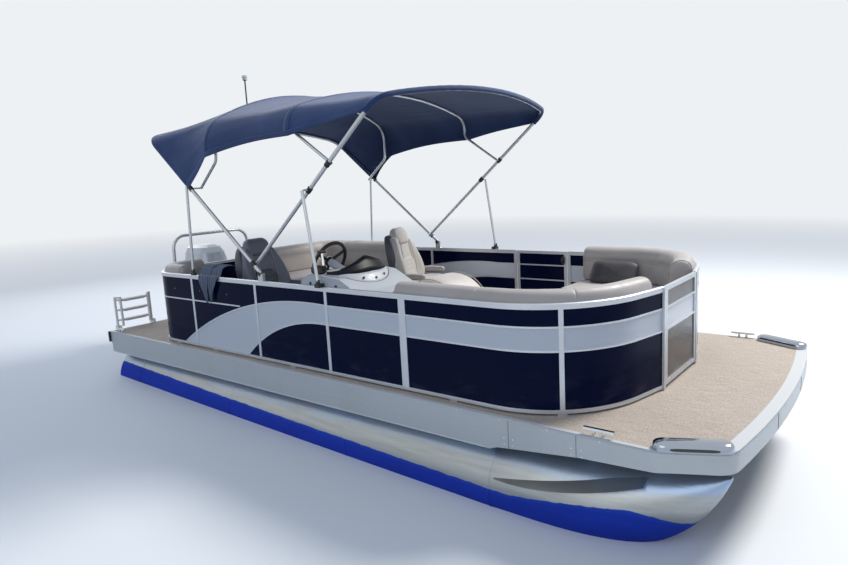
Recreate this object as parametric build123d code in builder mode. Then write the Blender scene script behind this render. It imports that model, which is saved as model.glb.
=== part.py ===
from build123d import *
import os
from math import atan2, cos, degrees, hypot, radians, sin, tan

os.makedirs("parts", exist_ok=True)

# A twenty-foot pontoon boat. Millimetres. +X is the bow, +Y is port, +Z is up.
# The origin is amidships on the centreline, at the waterline.

# Hull and deck
half_beam = 1295.0
stern_x = -3150.0
side_end_x = 2742.0
corner_x = 3080.0
corner_in = 165.0
corner_y = half_beam - corner_in
corner_r = 140.0
bow_x = 3155.0
deck_top = 600.0
floor_t = 4.0
deck_t = 22.0
deck_inset = 6.0
floor_in = 22.0
notch_x = stern_x + 240.0
notch_half = 390.0

# Pontoons
tube_r = 317.5
tube_y = half_beam - tube_r
draft = 230.0
tube_z = tube_r - draft
tube_aft_x = stern_x + 70.0
tube_chamfer = 30.0
seam_x = 1700.0
keel_w = 30.0
keel_h = 12.0

# Cross members
member_h = 76.0
member_w = 44.0
member_t = 5.0
member_count = 15
member_first_x = stern_x + 150.0
member_last_x = 2690.0
member_half = half_beam - 20.0
riser_w = 130.0
riser_l = 60.0

# Skirts and fascia
skirt_t = 4.0
skirt_drop = 222.0
fascia_drop = 118.0
skirt_step_x = 1720.0
skirt_rise_len = 600.0
lip_h = 12.0
bow_trim = 46.0

# Fence
fence_in = 75.5
fence_half = half_beam - fence_in
platform_len = 830.0
fence_aft_x = stern_x + platform_len
fence_front_x = 2478.0
fence_corner_r = 330.0
bow_arc_x = 1720.0
bow_r1 = 680.0
bow_turn1 = 50.0
bow_r2 = 800.0
bow_turn2 = 28.0
fence_top = deck_top + 683.0
top_rail_h = 32.0
top_rail_w = 30.0
bottom_rail_h = 24.0
foot_h = 12.0
rail_w = 25.0
post_w = 30.0
trim_h = 12.0
trim_w = 16.0
panel_inset = 5.0
panel_t = 8.0
band_low = deck_top + 397.0
band_high = deck_top + 543.0
mid_rail_z = deck_top + 450.0

# Gates: opening centre, half width
bow_gate_half = 318.0
side_gate_x0 = 490.0
side_gate_x1 = 1035.0
stern_gate_y0 = -640.0
stern_gate_y1 = -20.0
gate_gap = 8.0
gate_frame_w = 28.0
gate_frame_t = 24.0
gate_foot = 26.0

# Furniture
seat_gap = 32.0
base_h = 330.0
seat_t = 120.0
back_t = 165.0
back_top = deck_top + 752.0
soft_gap = 0.3
bow_seat_w = 640.0
starboard_seat_x = 890.0
port_seat_x = 1270.0
aft_seat_x = -960.0
aft_seat_w = 600.0
corner_seat_w = 500.0

# Helm
console_x0 = -120.0
console_x1 = 830.0
console_y = -560.0
console_top = deck_top + 775.0
wheel_x = -170.0
wheel_y = -760.0
wheel_z = deck_top + 805.0
wheel_r = 172.0
wheel_tube = 15.0
wheel_rake = 25.0
column_len = 200.0

# Chairs
chair_x = -1130.0
chair_y = -600.0
mate_x = -320.0
mate_y = 610.0
pedestal_r = 38.0
pedestal_h = 300.0
chair_w = 520.0
chair_h = 968.0

# Bimini top: x and z of the pivot and of the crowns, distances up the main legs
main_tube = 32.0
small_tube = 25.0
bimini_y = fence_half - 14.5
pivot_x = -520.0
pivot_z = fence_top + 67.0
aft_crown_x = -2210.0
front_crown_x = 967.0
main_crown_z = deck_top + 2108.0
second_x = -1140.0
second_crown_z = deck_top + 2300.0
second_knee_z = deck_top + 1700.0
third_x = -50.0
third_crown_z = deck_top + 2200.0
third_knee_z = deck_top + 1850.0
knee_r = 90.0
front_foot_along = 118.0
second_foot_along = 1154.0
third_foot_along = 1218.0
strut_head_along = 930.0
front_strut_x = 205.0
aft_strut_x = -1530.0
strut_foot_rise = 43.0

# Outboard
transom_x = stern_x + 210.0
transom_top = deck_top - 10.0
tilt_x = transom_x - 50.0
tilt_z = deck_top + 50.0
tilt_pin_r = 14.0
steer_x = tilt_x - 74.0
swivel_r = 36.0
cowl_len = 540.0
cowl_w = 380.0
cowl_low = deck_top + 250.0
cowl_top = deck_top + 800.0
plate_z = -45.0
prop_z = -260.0
skeg_z = -450.0
prop_r = 165.0


# Pontoons: a straight tube, a nose drawn out to a raked stem, risers and a keel strip
nose_sections = [
    # x, bottom z, half width
    (2200.0, -200.0, 300.0),
    (2600.0, -112.0, 222.0),
    (2830.0, 50.0, 135.0),
    (3040.0, 380.0, 12.0),
]
tube_top = tube_z + tube_r
member_low = deck_top - floor_t - deck_t - member_h
member_pitch = (member_last_x - member_first_x) / (member_count - 1)
member_xs = [member_first_x + i * member_pitch for i in range(member_count)]


def lens(x, low, half):
    """Outline of the nose at one station, in the plane across the hull."""
    mid = (tube_top + low) / 2
    with BuildSketch(Plane.YZ.offset(x)) as section:
        with BuildLine():
            ThreePointArc((0, tube_top), (half, mid), (0, low))
            ThreePointArc((0, low), (-half, mid), (0, tube_top))
        make_face()
    return section.sketch


with BuildPart() as hull_tube:
    with BuildSketch(Plane.YZ.offset(tube_aft_x)):
        with Locations((0, tube_z)):
            Circle(tube_r)
    extrude(amount=seam_x - tube_aft_x)
    chamfer(hull_tube.faces().sort_by(Axis.X)[0].edges(), tube_chamfer)
    with BuildSketch(Plane.XZ) as keel:
        with Locations(((tube_aft_x + 200 + seam_x) / 2, tube_z - tube_r)):
            Rectangle(seam_x - tube_aft_x - 200, 2 * keel_h)
    extrude(amount=keel_w / 2, both=True)
    with BuildSketch(Plane.XY.offset(tube_z + tube_r * 0.9)):
        for x in member_xs:
            if x < seam_x + 800:
                with Locations((x, 0)):
                    Rectangle(riser_l, riser_w)
    extrude(amount=member_low - tube_z - tube_r * 0.9)

with BuildPart() as nose:
    loft([lens(seam_x, tube_z - tube_r, tube_r)] + [lens(*row) for row in nose_sections])

strake_sections = [
    # x, y of the root, z of the root, width, drop
    (1735.0, 300.0, 190.0, 14.0, 10.0),
    (2200.0, 275.0, 262.0, 62.0, 34.0),
    (2640.0, 195.0, 330.0, 12.0, 10.0),
]
with BuildPart() as strake:
    for x, y, z, width, drop in strake_sections:
        with BuildSketch(Plane.YZ.offset(x)):
            Polygon(
                (y - 60, z + 20),
                (y + width, z - drop),
                (y - 60, z - drop - 20),
                align=None,
            )
    loft()

for name, side in (("pontoon_starboard", -1), ("pontoon_port", 1)):
    with BuildPart() as pontoon:
        add(hull_tube.part)
        add(nose.part)
        if side > 0:
            add(strake.part)
        else:
            add(strake.part.mirror(Plane.XZ))
    placed = pontoon.part.moved(Location((0, side * tube_y, 0)))
    placed.label = name
    export_step(placed, f"parts/{name}.step")


# Cross members: channels with the open side aft, cut short beside the motor notch
with BuildPart() as cross_members:
    for x in member_xs:
        with BuildSketch(Plane.XZ.offset(-member_half)):
            with Locations((x, member_low + member_h / 2)):
                Rectangle(member_w, member_h)
            with Locations((x - member_t, member_low + member_h / 2)):
                Rectangle(member_w, member_h - 2 * member_t, mode=Mode.SUBTRACT)
        extrude(amount=2 * member_half)
    with BuildSketch(Plane.XY.offset(member_low)):
        with Locations(((stern_x + notch_x) / 2 + 30, 0)):
            Rectangle(notch_x - stern_x + 140, 2 * notch_half + 60)
    extrude(amount=member_h, mode=Mode.SUBTRACT)
cross_members.part.label = "cross_members"
export_step(cross_members.part, "parts/cross_members.step")


def deck_outline(inset):
    """Plan of the deck, drawn in from its edge by inset."""
    edge_y = half_beam - inset
    with BuildSketch() as plan:
        with BuildLine():
            Polyline(
                (stern_x + inset, -edge_y),
                (side_end_x, -edge_y),
                (corner_x - inset, -corner_y + inset / 2),
            )
            ThreePointArc(
                (corner_x - inset, -corner_y + inset / 2),
                (bow_x - inset, 0),
                (corner_x - inset, corner_y - inset / 2),
            )
            Polyline(
                (corner_x - inset, corner_y - inset / 2),
                (side_end_x, edge_y),
                (stern_x + inset, edge_y),
                (stern_x + inset, -edge_y),
            )
        make_face()
        fillet(plan.vertices().filter_by(lambda v: v.X > side_end_x - 1), corner_r - inset)
        with Locations(((stern_x + notch_x) / 2 - 50, 0)):
            Rectangle(notch_x - stern_x + 100, 2 * (notch_half + inset), mode=Mode.SUBTRACT)
    return plan.sketch


def floor_plan():
    """Plan of the woven floor, which stops short of a wider trim round the bow."""
    outline = deck_outline(deck_inset + floor_in)
    with BuildSketch() as plan:
        add(outline)
        add(outline.moved(Location((-bow_trim, 0, 0))), mode=Mode.INTERSECT)
    return plan.sketch


with BuildPart() as deck_panel:
    with BuildSketch(Plane.XY.offset(deck_top - floor_t - deck_t)):
        add(deck_outline(deck_inset))
    extrude(amount=deck_t)
deck_panel.part.label = "deck_panel"
export_step(deck_panel.part, "parts/deck_panel.step")

with BuildPart() as woven_floor:
    with BuildSketch(Plane.XY.offset(deck_top - floor_t)):
        add(floor_plan())
    extrude(amount=floor_t)
woven_floor.part.label = "woven_floor"
export_step(woven_floor.part, "parts/woven_floor.step")

# Deck edge: side skirts that taper up forward of the tube seam, bow fascia, stern and notch trim
with BuildPart() as deck_edge:
    with BuildSketch(Plane.XY.offset(deck_top - skirt_drop)):
        add(deck_outline(0))
        add(deck_outline(skirt_t), mode=Mode.SUBTRACT)
    extrude(amount=skirt_drop)
    with BuildSketch(Plane.XY.offset(deck_top - lip_h)):
        add(deck_outline(0))
        add(floor_plan(), mode=Mode.SUBTRACT)
    extrude(amount=lip_h)
    with BuildSketch(Plane.XY.offset(deck_top - lip_h)):
        add(deck_outline(deck_inset))
    extrude(amount=lip_h - floor_t, mode=Mode.SUBTRACT)
    low = deck_top - skirt_drop
    with BuildSketch(Plane.XZ.offset(-half_beam - 50)):
        with BuildLine():
            Polyline(
                (skirt_step_x, low - 10),
                (skirt_step_x, low),
                (skirt_step_x + 60, low + 22),
                (skirt_step_x + skirt_rise_len, deck_top - fascia_drop - 22),
                (side_end_x + 60, deck_top - fascia_drop),
                (bow_x + 50, deck_top - fascia_drop),
                (bow_x + 50, low - 10),
                (skirt_step_x, low - 10),
            )
        make_face()
        with Locations((stern_x, low + 40)):
            Rectangle(40, 100)
    extrude(amount=2 * half_beam + 100, mode=Mode.SUBTRACT)
deck_edge.part.label = "deck_edge"
export_step(deck_edge.part, "parts/deck_edge.step")


# Fence outline, walked from the aft centre to the bow centre on the starboard side
def fence_plan(inset):
    """Plan of the area inside the fence, drawn in from its outer face by inset."""
    half = fence_half - inset
    aft = fence_aft_x + inset
    front = fence_front_x - inset
    turn = radians(bow_turn1)
    full = radians(bow_turn1 + bow_turn2)
    centre1 = (bow_arc_x, -(fence_half - bow_r1))
    centre2 = (
        centre1[0] + (bow_r1 - bow_r2) * sin(turn),
        centre1[1] - (bow_r1 - bow_r2) * cos(turn),
    )
    centre_aft = (fence_aft_x + fence_corner_r, -(fence_half - fence_corner_r))
    end_x = centre2[0] + (bow_r2 - inset) * sin(full)
    end_y = centre2[1] - (bow_r2 - inset) * cos(full)
    gate_y = end_y + (front - end_x) * tan(full)
    with BuildSketch() as plan:
        with BuildLine() as walk:
            Line((aft, 0), (aft, centre_aft[1]))
            CenterArc(centre_aft, fence_corner_r - inset, 180, 90)
            Line((centre_aft[0], -half), (bow_arc_x, -half))
            CenterArc(centre1, bow_r1 - inset, 270, bow_turn1)
            CenterArc(centre2, bow_r2 - inset, 270 + bow_turn1, bow_turn2)
            Polyline((end_x, end_y), (front, gate_y), (front, 0))
            mirror(about=Plane.XZ)
        make_face()
    return plan.sketch


def fence_ring(outer, inner):
    """Plan of a strip that follows the fence, between two insets."""
    with BuildSketch() as plan:
        add(fence_plan(outer))
        add(fence_plan(inner), mode=Mode.SUBTRACT)
    return plan.sketch


def fence_wall(outer, inner, low, high):
    """Solid strip that follows the fence, between two insets and two heights."""
    with BuildPart() as wall:
        with BuildSketch(Plane.XY.offset(low)):
            add(fence_ring(outer, inner))
        extrude(amount=high - low)
    return wall.part


def gate_openings(grow):
    """Blocks that clear the three gate openings."""
    with BuildPart() as blocks:
        tall = fence_top - deck_top + 200
        mid = deck_top + tall / 2 - 100
        with Locations((fence_front_x, 0, mid)):
            Box(160, 2 * (bow_gate_half + gate_gap + grow), tall)
        with Locations(((side_gate_x0 + side_gate_x1) / 2, fence_half, mid)):
            Box(side_gate_x1 - side_gate_x0 + 2 * (gate_gap + grow), 160, tall)
        with Locations((fence_aft_x, (stern_gate_y0 + stern_gate_y1) / 2, mid)):
            Box(160, stern_gate_y1 - stern_gate_y0 + 2 * (gate_gap + grow), tall)
    return blocks.part


# The light band and its sweep down to the bottom rail, seen from the side
band_end_x = fence_front_x + 60
sweep_low = deck_top + foot_h
upper_sweep = [(250.0, band_high), (-840.0, deck_top + 433.0), (-1800.0, sweep_low)]
lower_sweep = [(190.0, band_low), (-330.0, deck_top + 306.0), (-800.0, sweep_low)]
across = Plane.XZ.offset(-half_beam)

with BuildPart() as band_block:
    with BuildSketch(across):
        with BuildLine():
            Line((band_end_x, band_high), upper_sweep[0])
            ThreePointArc(*upper_sweep)
            Line(upper_sweep[2], lower_sweep[2])
            ThreePointArc(*reversed(lower_sweep))
            Polyline(lower_sweep[0], (band_end_x, band_low), (band_end_x, band_high))
        make_face()
    extrude(amount=2 * half_beam)

with BuildPart() as trim_lines:
    for level, sweep_points in ((band_high, upper_sweep), (band_low, lower_sweep)):
        with BuildSketch(across):
            with BuildLine():
                Line((band_end_x, level), sweep_points[0])
                ThreePointArc(*sweep_points)
            trace(line_width=trim_h)
        extrude(amount=2 * half_beam)
    add(fence_wall(0, trim_w, sweep_low, fence_top), mode=Mode.INTERSECT)

mid_rail_end = -840.0
with BuildPart() as mid_rail:
    add(fence_wall(0, trim_w, mid_rail_z - trim_h / 2, mid_rail_z + trim_h / 2))
    with Locations((mid_rail_end + 3000, 0, mid_rail_z)):
        Box(6000, 4000, 100, mode=Mode.SUBTRACT)

# Gate hinges: the pin stands in from the fence's outer face, midway in the gap beside the leaf
hinge_in = 34.0
tab_half = 9.0
bow_pin = (fence_front_x - hinge_in, bow_gate_half + gate_gap / 2)
side_pin = (side_gate_x0 - gate_gap / 2, fence_half - hinge_in)
stern_pin = (fence_aft_x + hinge_in, stern_gate_y1 + gate_gap / 2)
gate_hinges = {
    # pin, then from the pin to the middle of the post's tab and of the leaf's tab, size of a tab
    "bow": (bow_pin, (2.0, tab_half), (3.0, -tab_half), (14.0, 18.0)),
    "side": (side_pin, (-tab_half, 3.0), (tab_half, 4.0), (18.0, 16.0)),
    "stern": (stern_pin, (-4.0, tab_half), (-4.0, -tab_half), (16.0, 18.0)),
}
knuckle_r = 6.0
knuckle_h = 30.0
hinge_pin_r = 3.0
hinge_gap = 0.5
hinge_levels = (deck_top + 90.0, deck_top + 560.0)


def post_knuckles(name):
    """Fixed half of a gate's two hinges: knuckle, pin and the tab to the post."""
    pin, tab, _, size = gate_hinges[name]
    with BuildPart() as half:
        for low in hinge_levels:
            with BuildSketch(Plane.XY.offset(low)):
                with Locations(pin):
                    Circle(knuckle_r)
            extrude(amount=knuckle_h)
            with BuildSketch(Plane.XY.offset(low)):
                with Locations(pin):
                    Circle(hinge_pin_r)
            extrude(amount=2 * knuckle_h)
            with Locations((pin[0] + tab[0], pin[1] + tab[1], low + knuckle_h / 2)):
                Box(*size, knuckle_h)
    return half.part


def leaf_knuckles(name):
    """Moving half of a gate's two hinges."""
    pin, _, tab, size = gate_hinges[name]
    with BuildPart() as half:
        for low in hinge_levels:
            start = low + knuckle_h + hinge_gap
            with BuildSketch(Plane.XY.offset(start)):
                with Locations(pin):
                    Circle(knuckle_r)
                with Locations((pin[0] + tab[0], pin[1] + tab[1])):
                    Rectangle(*size)
                with Locations(pin):
                    Circle(hinge_pin_r + 0.05, mode=Mode.SUBTRACT)
            extrude(amount=knuckle_h)
    return half.part


# Posts: x on the straight sides, or the turn angle round the bow arc
side_posts = [-1560.0, -610.0, 247.0, 985.0, 1015.0]
port_posts = [-1560.0, -610.0, side_gate_x0 - gate_gap - post_w / 2, side_gate_x1 + gate_gap + post_w / 2]
bow_post_turn = 36.0
rail_feet = [-1900.0, -1300.0, -200.0, 1400.0]
post_mid_z = (deck_top + foot_h + fence_top) / 2
post_tall = fence_top - deck_top - foot_h - 2
post_y = fence_half - rail_w / 2


def fence_frame(side, straight_posts, hinged):
    """Rails, posts and band trim of one side of the fence, gates left open."""
    with BuildPart() as frame:
        add(fence_wall(0, top_rail_w, fence_top - top_rail_h, fence_top))
        add(fence_wall(0, rail_w, deck_top + foot_h, deck_top + foot_h + bottom_rail_h))
        add(trim_lines.part)
        add(mid_rail.part)
        for x in straight_posts:
            with Locations((x, side * post_y, post_mid_z)):
                Box(post_w, rail_w, post_tall)
        turn = radians(bow_post_turn)
        arc_y = fence_half - bow_r1
        reach = bow_r1 - rail_w / 2
        with Locations(
            Location(
                (bow_arc_x + reach * sin(turn), side * (arc_y + reach * cos(turn)), post_mid_z),
                (0, 0, -side * bow_post_turn),
            )
        ):
            Box(post_w, rail_w, post_tall)
            with Locations((0, 0, -(post_tall + foot_h) / 2)):
                Box(60, rail_w - 4, foot_h)
        gate_post_y = side * (bow_gate_half + gate_gap + 16)
        with Locations((fence_front_x - 14, gate_post_y, post_mid_z - foot_h / 2)):
            Box(28, 32, post_tall + foot_h)
        gate_y = stern_gate_y0 - gate_gap if side < 0 else stern_gate_y1 + gate_gap
        with Locations((fence_aft_x + 13, gate_y + side * post_w / 2, post_mid_z)):
            Box(26, post_w, post_tall)
        for x in rail_feet:
            with Locations((x, side * (fence_half - 14), deck_top + foot_h / 2)):
                Box(60, 20, foot_h)
        add(gate_openings(0), mode=Mode.SUBTRACT)
        gate_mid = (stern_gate_y0 + stern_gate_y1) / 2
        for x, split_y in ((-4000, gate_mid), (4000, 0)):
            with Locations((x, split_y - side * 2000, deck_top)):
                Box(8000, 4000, 2000, mode=Mode.SUBTRACT)
        for name in hinged:
            add(post_knuckles(name))
    return frame.part


frame_starboard = fence_frame(-1, side_posts, ())
frame_starboard.label = "fence_frame_starboard"
export_step(frame_starboard, "parts/fence_frame_starboard.step")
frame_port = fence_frame(1, port_posts, ("bow", "side", "stern"))
frame_port.label = "fence_frame_port"
export_step(frame_port, "parts/fence_frame_port.step")

with BuildPart() as panel_ring:
    add(
        fence_wall(
            panel_inset,
            panel_inset + panel_t,
            deck_top + foot_h + bottom_rail_h,
            fence_top - top_rail_h,
        )
    )
    add(gate_openings(20), mode=Mode.SUBTRACT)
    add(frame_starboard, mode=Mode.SUBTRACT)
    add(frame_port, mode=Mode.SUBTRACT)

with BuildPart() as fence_panels:
    add(panel_ring.part)
    add(band_block.part, mode=Mode.SUBTRACT)
fence_panels.part.label = "fence_panels"
export_step(fence_panels.part, "parts/fence_panels.step")

with BuildPart() as fence_band:
    add(panel_ring.part)
    add(band_block.part, mode=Mode.INTERSECT)
fence_band.part.label = "fence_band"
export_step(fence_band.part, "parts/fence_band.step")


# Gates: a tube frame with mid rails and an infill panel, drawn flat and stood up in its opening
def gate(name, width, plane, mid_rails):
    """A gate leaf in the given plane, its lower left corner at the plane's origin."""
    tall = fence_top - deck_top - gate_foot
    inner_w = width - 2 * gate_frame_w
    with BuildPart() as leaf:
        with BuildSketch(plane):
            with Locations((width / 2, tall / 2)):
                Rectangle(width, tall)
                Rectangle(inner_w, tall - 2 * gate_frame_w, mode=Mode.SUBTRACT)
            for height in mid_rails:
                with Locations((width / 2, height - deck_top - gate_foot)):
                    Rectangle(inner_w, trim_h)
        extrude(amount=gate_frame_t / 2, both=True)
        add(leaf_knuckles(name))
    leaf.part.label = name + "_gate_frame"
    export_step(leaf.part, f"parts/{name}_gate_frame.step")
    with BuildPart() as infill:
        with BuildSketch(plane):
            with Locations((width / 2, tall / 2)):
                Rectangle(inner_w, tall - 2 * gate_frame_w)
        extrude(amount=panel_t / 2, both=True)
        add(leaf.part, mode=Mode.SUBTRACT)
    infill.part.label = name + "_gate_panel"
    export_step(infill.part, f"parts/{name}_gate_panel.step")


gate_z = deck_top + gate_foot
gate(
    "bow",
    2 * bow_gate_half,
    Plane(origin=(fence_front_x - 14, -bow_gate_half, gate_z), x_dir=(0, 1, 0), z_dir=(1, 0, 0)),
    (band_low, band_high),
)
gate(
    "side",
    side_gate_x1 - side_gate_x0,
    Plane(origin=(side_gate_x0, fence_half - 14, gate_z), x_dir=(1, 0, 0), z_dir=(0, -1, 0)),
    (band_low, band_high),
)
gate(
    "stern",
    stern_gate_y1 - stern_gate_y0,
    Plane(origin=(fence_aft_x + 14, stern_gate_y0, gate_z), x_dir=(0, 1, 0), z_dir=(1, 0, 0)),
    (mid_rail_z,),
)


# Lounges: moulded base, seat cushion and a backrest that follows the fence
def lounge(name, boxes, back_boxes, base_in=20):
    """Base, seat and back of one lounge. Boxes are (x0, x1, y0, y1) in plan."""
    base_top = deck_top + base_h
    seat_top = base_top + soft_gap + seat_t

    def footprint(rows, shrink):
        with BuildSketch() as plan:
            for x0, x1, y0, y1 in rows:
                with Locations(((x0 + x1) / 2, (y0 + y1) / 2)):
                    Rectangle(x1 - x0 - 2 * shrink, y1 - y0 - 2 * shrink)
            add(fence_plan(seat_gap + shrink), mode=Mode.INTERSECT)
        return plan.sketch

    with BuildPart() as base:
        with BuildSketch(Plane.XY.offset(deck_top)):
            add(footprint(boxes, base_in))
        extrude(amount=base_h)
    base.part.label = "lounge_base_" + name
    export_step(base.part, f"parts/lounge_base_{name}.step")
    with BuildPart() as seat:
        with BuildSketch(Plane.XY.offset(base_top + soft_gap)):
            add(footprint(boxes, 0))
        extrude(amount=seat_t)
    seat.part.label = "seat_cushion_" + name
    export_step(seat.part, f"parts/seat_cushion_{name}.step")
    with BuildPart() as back:
        with BuildSketch(Plane.XY.offset(seat_top + soft_gap)):
            add(footprint(back_boxes, 0))
            add(fence_plan(seat_gap + back_t), mode=Mode.SUBTRACT)
        extrude(amount=back_top - seat_top - soft_gap)
    back.part.label = "back_cushion_" + name
    export_step(back.part, f"parts/back_cushion_{name}.step")


inner_y = fence_half - bow_seat_w
back_end_y = bow_gate_half + 82
back_reach = seat_gap + back_t + 100
corner_front_x = fence_aft_x + seat_gap + corner_seat_w
corner_inner_y = stern_gate_y0 - 46
lounge(
    "starboard",
    [(starboard_seat_x, fence_front_x, -fence_half, -inner_y)],
    [(starboard_seat_x, fence_front_x, -fence_half, -back_end_y)],
)
lounge(
    "port",
    [(port_seat_x, fence_front_x, inner_y, fence_half)],
    [(port_seat_x, fence_front_x, back_end_y, fence_half)],
)
lounge(
    "aft",
    [
        (fence_aft_x, aft_seat_x, fence_half - aft_seat_w, fence_half),
        (fence_aft_x, fence_aft_x + seat_gap + aft_seat_w, stern_gate_y1 + 40, fence_half),
    ],
    [
        (fence_aft_x, aft_seat_x, fence_half - back_reach, fence_half),
        (fence_aft_x, fence_aft_x + back_reach, stern_gate_y1 + 40, fence_half),
    ],
)
lounge(
    "corner",
    [(fence_aft_x, corner_front_x, -fence_half, corner_inner_y)],
    [(fence_aft_x, corner_front_x, -fence_half, corner_inner_y)],
)


# Helm console: a rounded side profile, cut to a rounded plan, with a raised rim round the screen
console_out = -(fence_half - seat_gap)
console_mid_y = (console_y + console_out) / 2
console_w = console_y - console_out
console_plan_r = 110.0
shelf_z = deck_top + 640.0
with BuildPart() as console_body:
    with BuildSketch(Plane.XZ.offset(-console_y)):
        with BuildLine():
            FilletPolyline(
                (console_x0 + 80, deck_top),
                (console_x0, deck_top + 540),
                (console_x0 + 15, deck_top + 690),
                (console_x0 + 180, console_top),
                (console_x0 + 500, console_top - 30),
                (console_x0 + 680, shelf_z + 12),
                (console_x1, shelf_z - 20),
                (console_x1 - 20, deck_top),
                radius=45,
            )
            Line((console_x1 - 20, deck_top), (console_x0 + 80, deck_top))
        make_face()
    extrude(amount=console_w)
    with BuildSketch(Plane.XY.offset(deck_top)):
        with Locations(((console_x0 + console_x1) / 2, console_mid_y)):
            RectangleRounded(console_x1 - console_x0, console_w, console_plan_r)
    extrude(amount=console_top - deck_top, mode=Mode.INTERSECT)

# Steering column: a boss on the wheel's raked axis, out of the console
wheel_dir = (-cos(radians(wheel_rake)), 0, sin(radians(wheel_rake)))
wheel_plane = Plane(origin=(wheel_x, wheel_y, wheel_z), x_dir=(0, 1, 0), z_dir=wheel_dir)
wheel_hub_h = 14.0
with BuildPart() as helm_console:
    add(console_body.part)
    with BuildSketch(wheel_plane.offset(-wheel_hub_h - hinge_gap)):
        Circle(34)
    extrude(amount=-column_len)
helm_console.part.label = "helm_console"
export_step(helm_console.part, "parts/helm_console.step")

# Windscreen: a low raked wrap of tinted sheet, its foot on the console's sloping top
screen_h = 125.0
screen_t = 6.0
screen_aft_x = console_x0 + 190
screen_front_x = console_x0 + 560
screen_half = console_w / 2 - 45
screen_rake = 22.0
screen_shear = tan(radians(screen_rake))


def screen_plan(z, grow):
    """Plan of the space behind the windscreen at a height, its front drawn aft as it rises."""
    front = screen_front_x - screen_shear * (z - console_top) + grow
    half = screen_half + grow
    with BuildSketch(Plane.XY.offset(z)) as plan:
        with BuildLine():
            Line((screen_aft_x, console_mid_y - half), (front - 150, console_mid_y - half))
            ThreePointArc(
                (front - 150, console_mid_y - half),
                (front, console_mid_y),
                (front - 150, console_mid_y + half),
            )
            Polyline(
                (front - 150, console_mid_y + half),
                (screen_aft_x, console_mid_y + half),
                (screen_aft_x, console_mid_y - half),
            )
        make_face()
    return plan.sketch


with BuildPart() as windscreen:
    loft([screen_plan(console_top - 60, screen_t), screen_plan(console_top + screen_h, screen_t)])
    loft(
        [screen_plan(console_top - 60, 0), screen_plan(console_top + screen_h, 0)],
        mode=Mode.SUBTRACT,
    )
    with BuildSketch(Plane.XZ.offset(-console_mid_y - 600)):
        with BuildLine():
            Polyline(
                (screen_aft_x - 100, console_top + screen_h),
                (screen_aft_x - 100, console_top + 10),
                (screen_aft_x, console_top + 10),
                (screen_aft_x + 260, console_top + screen_h),
                (screen_aft_x - 100, console_top + screen_h),
            )
        make_face()
    extrude(amount=1200, mode=Mode.SUBTRACT)
    add(console_body.part, mode=Mode.SUBTRACT)
windscreen.part.label = "windscreen"
export_step(windscreen.part, "parts/windscreen.step")

# Steering wheel on its raked axis
with BuildPart() as steering_wheel:
    with BuildSketch(wheel_plane.offset(-wheel_hub_h)):
        Circle(38)
    extrude(amount=2 * wheel_hub_h)
    with BuildSketch(wheel_plane):
        for angle in (90, 210, 330):
            with Locations(Location((0, 0), angle)):
                with Locations((wheel_r / 2 + 10, 0)):
                    Rectangle(wheel_r - 20, 26)
    extrude(amount=5, both=True)
    with BuildSketch(Plane(origin=wheel_plane.origin, x_dir=(0, 1, 0), z_dir=wheel_plane.y_dir)):
        with Locations((wheel_r, 0)):
            Circle(wheel_tube)
    revolve(axis=Axis(wheel_plane.origin, wheel_dir))
steering_wheel.part.label = "steering_wheel"
export_step(steering_wheel.part, "parts/steering_wheel.step")


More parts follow.
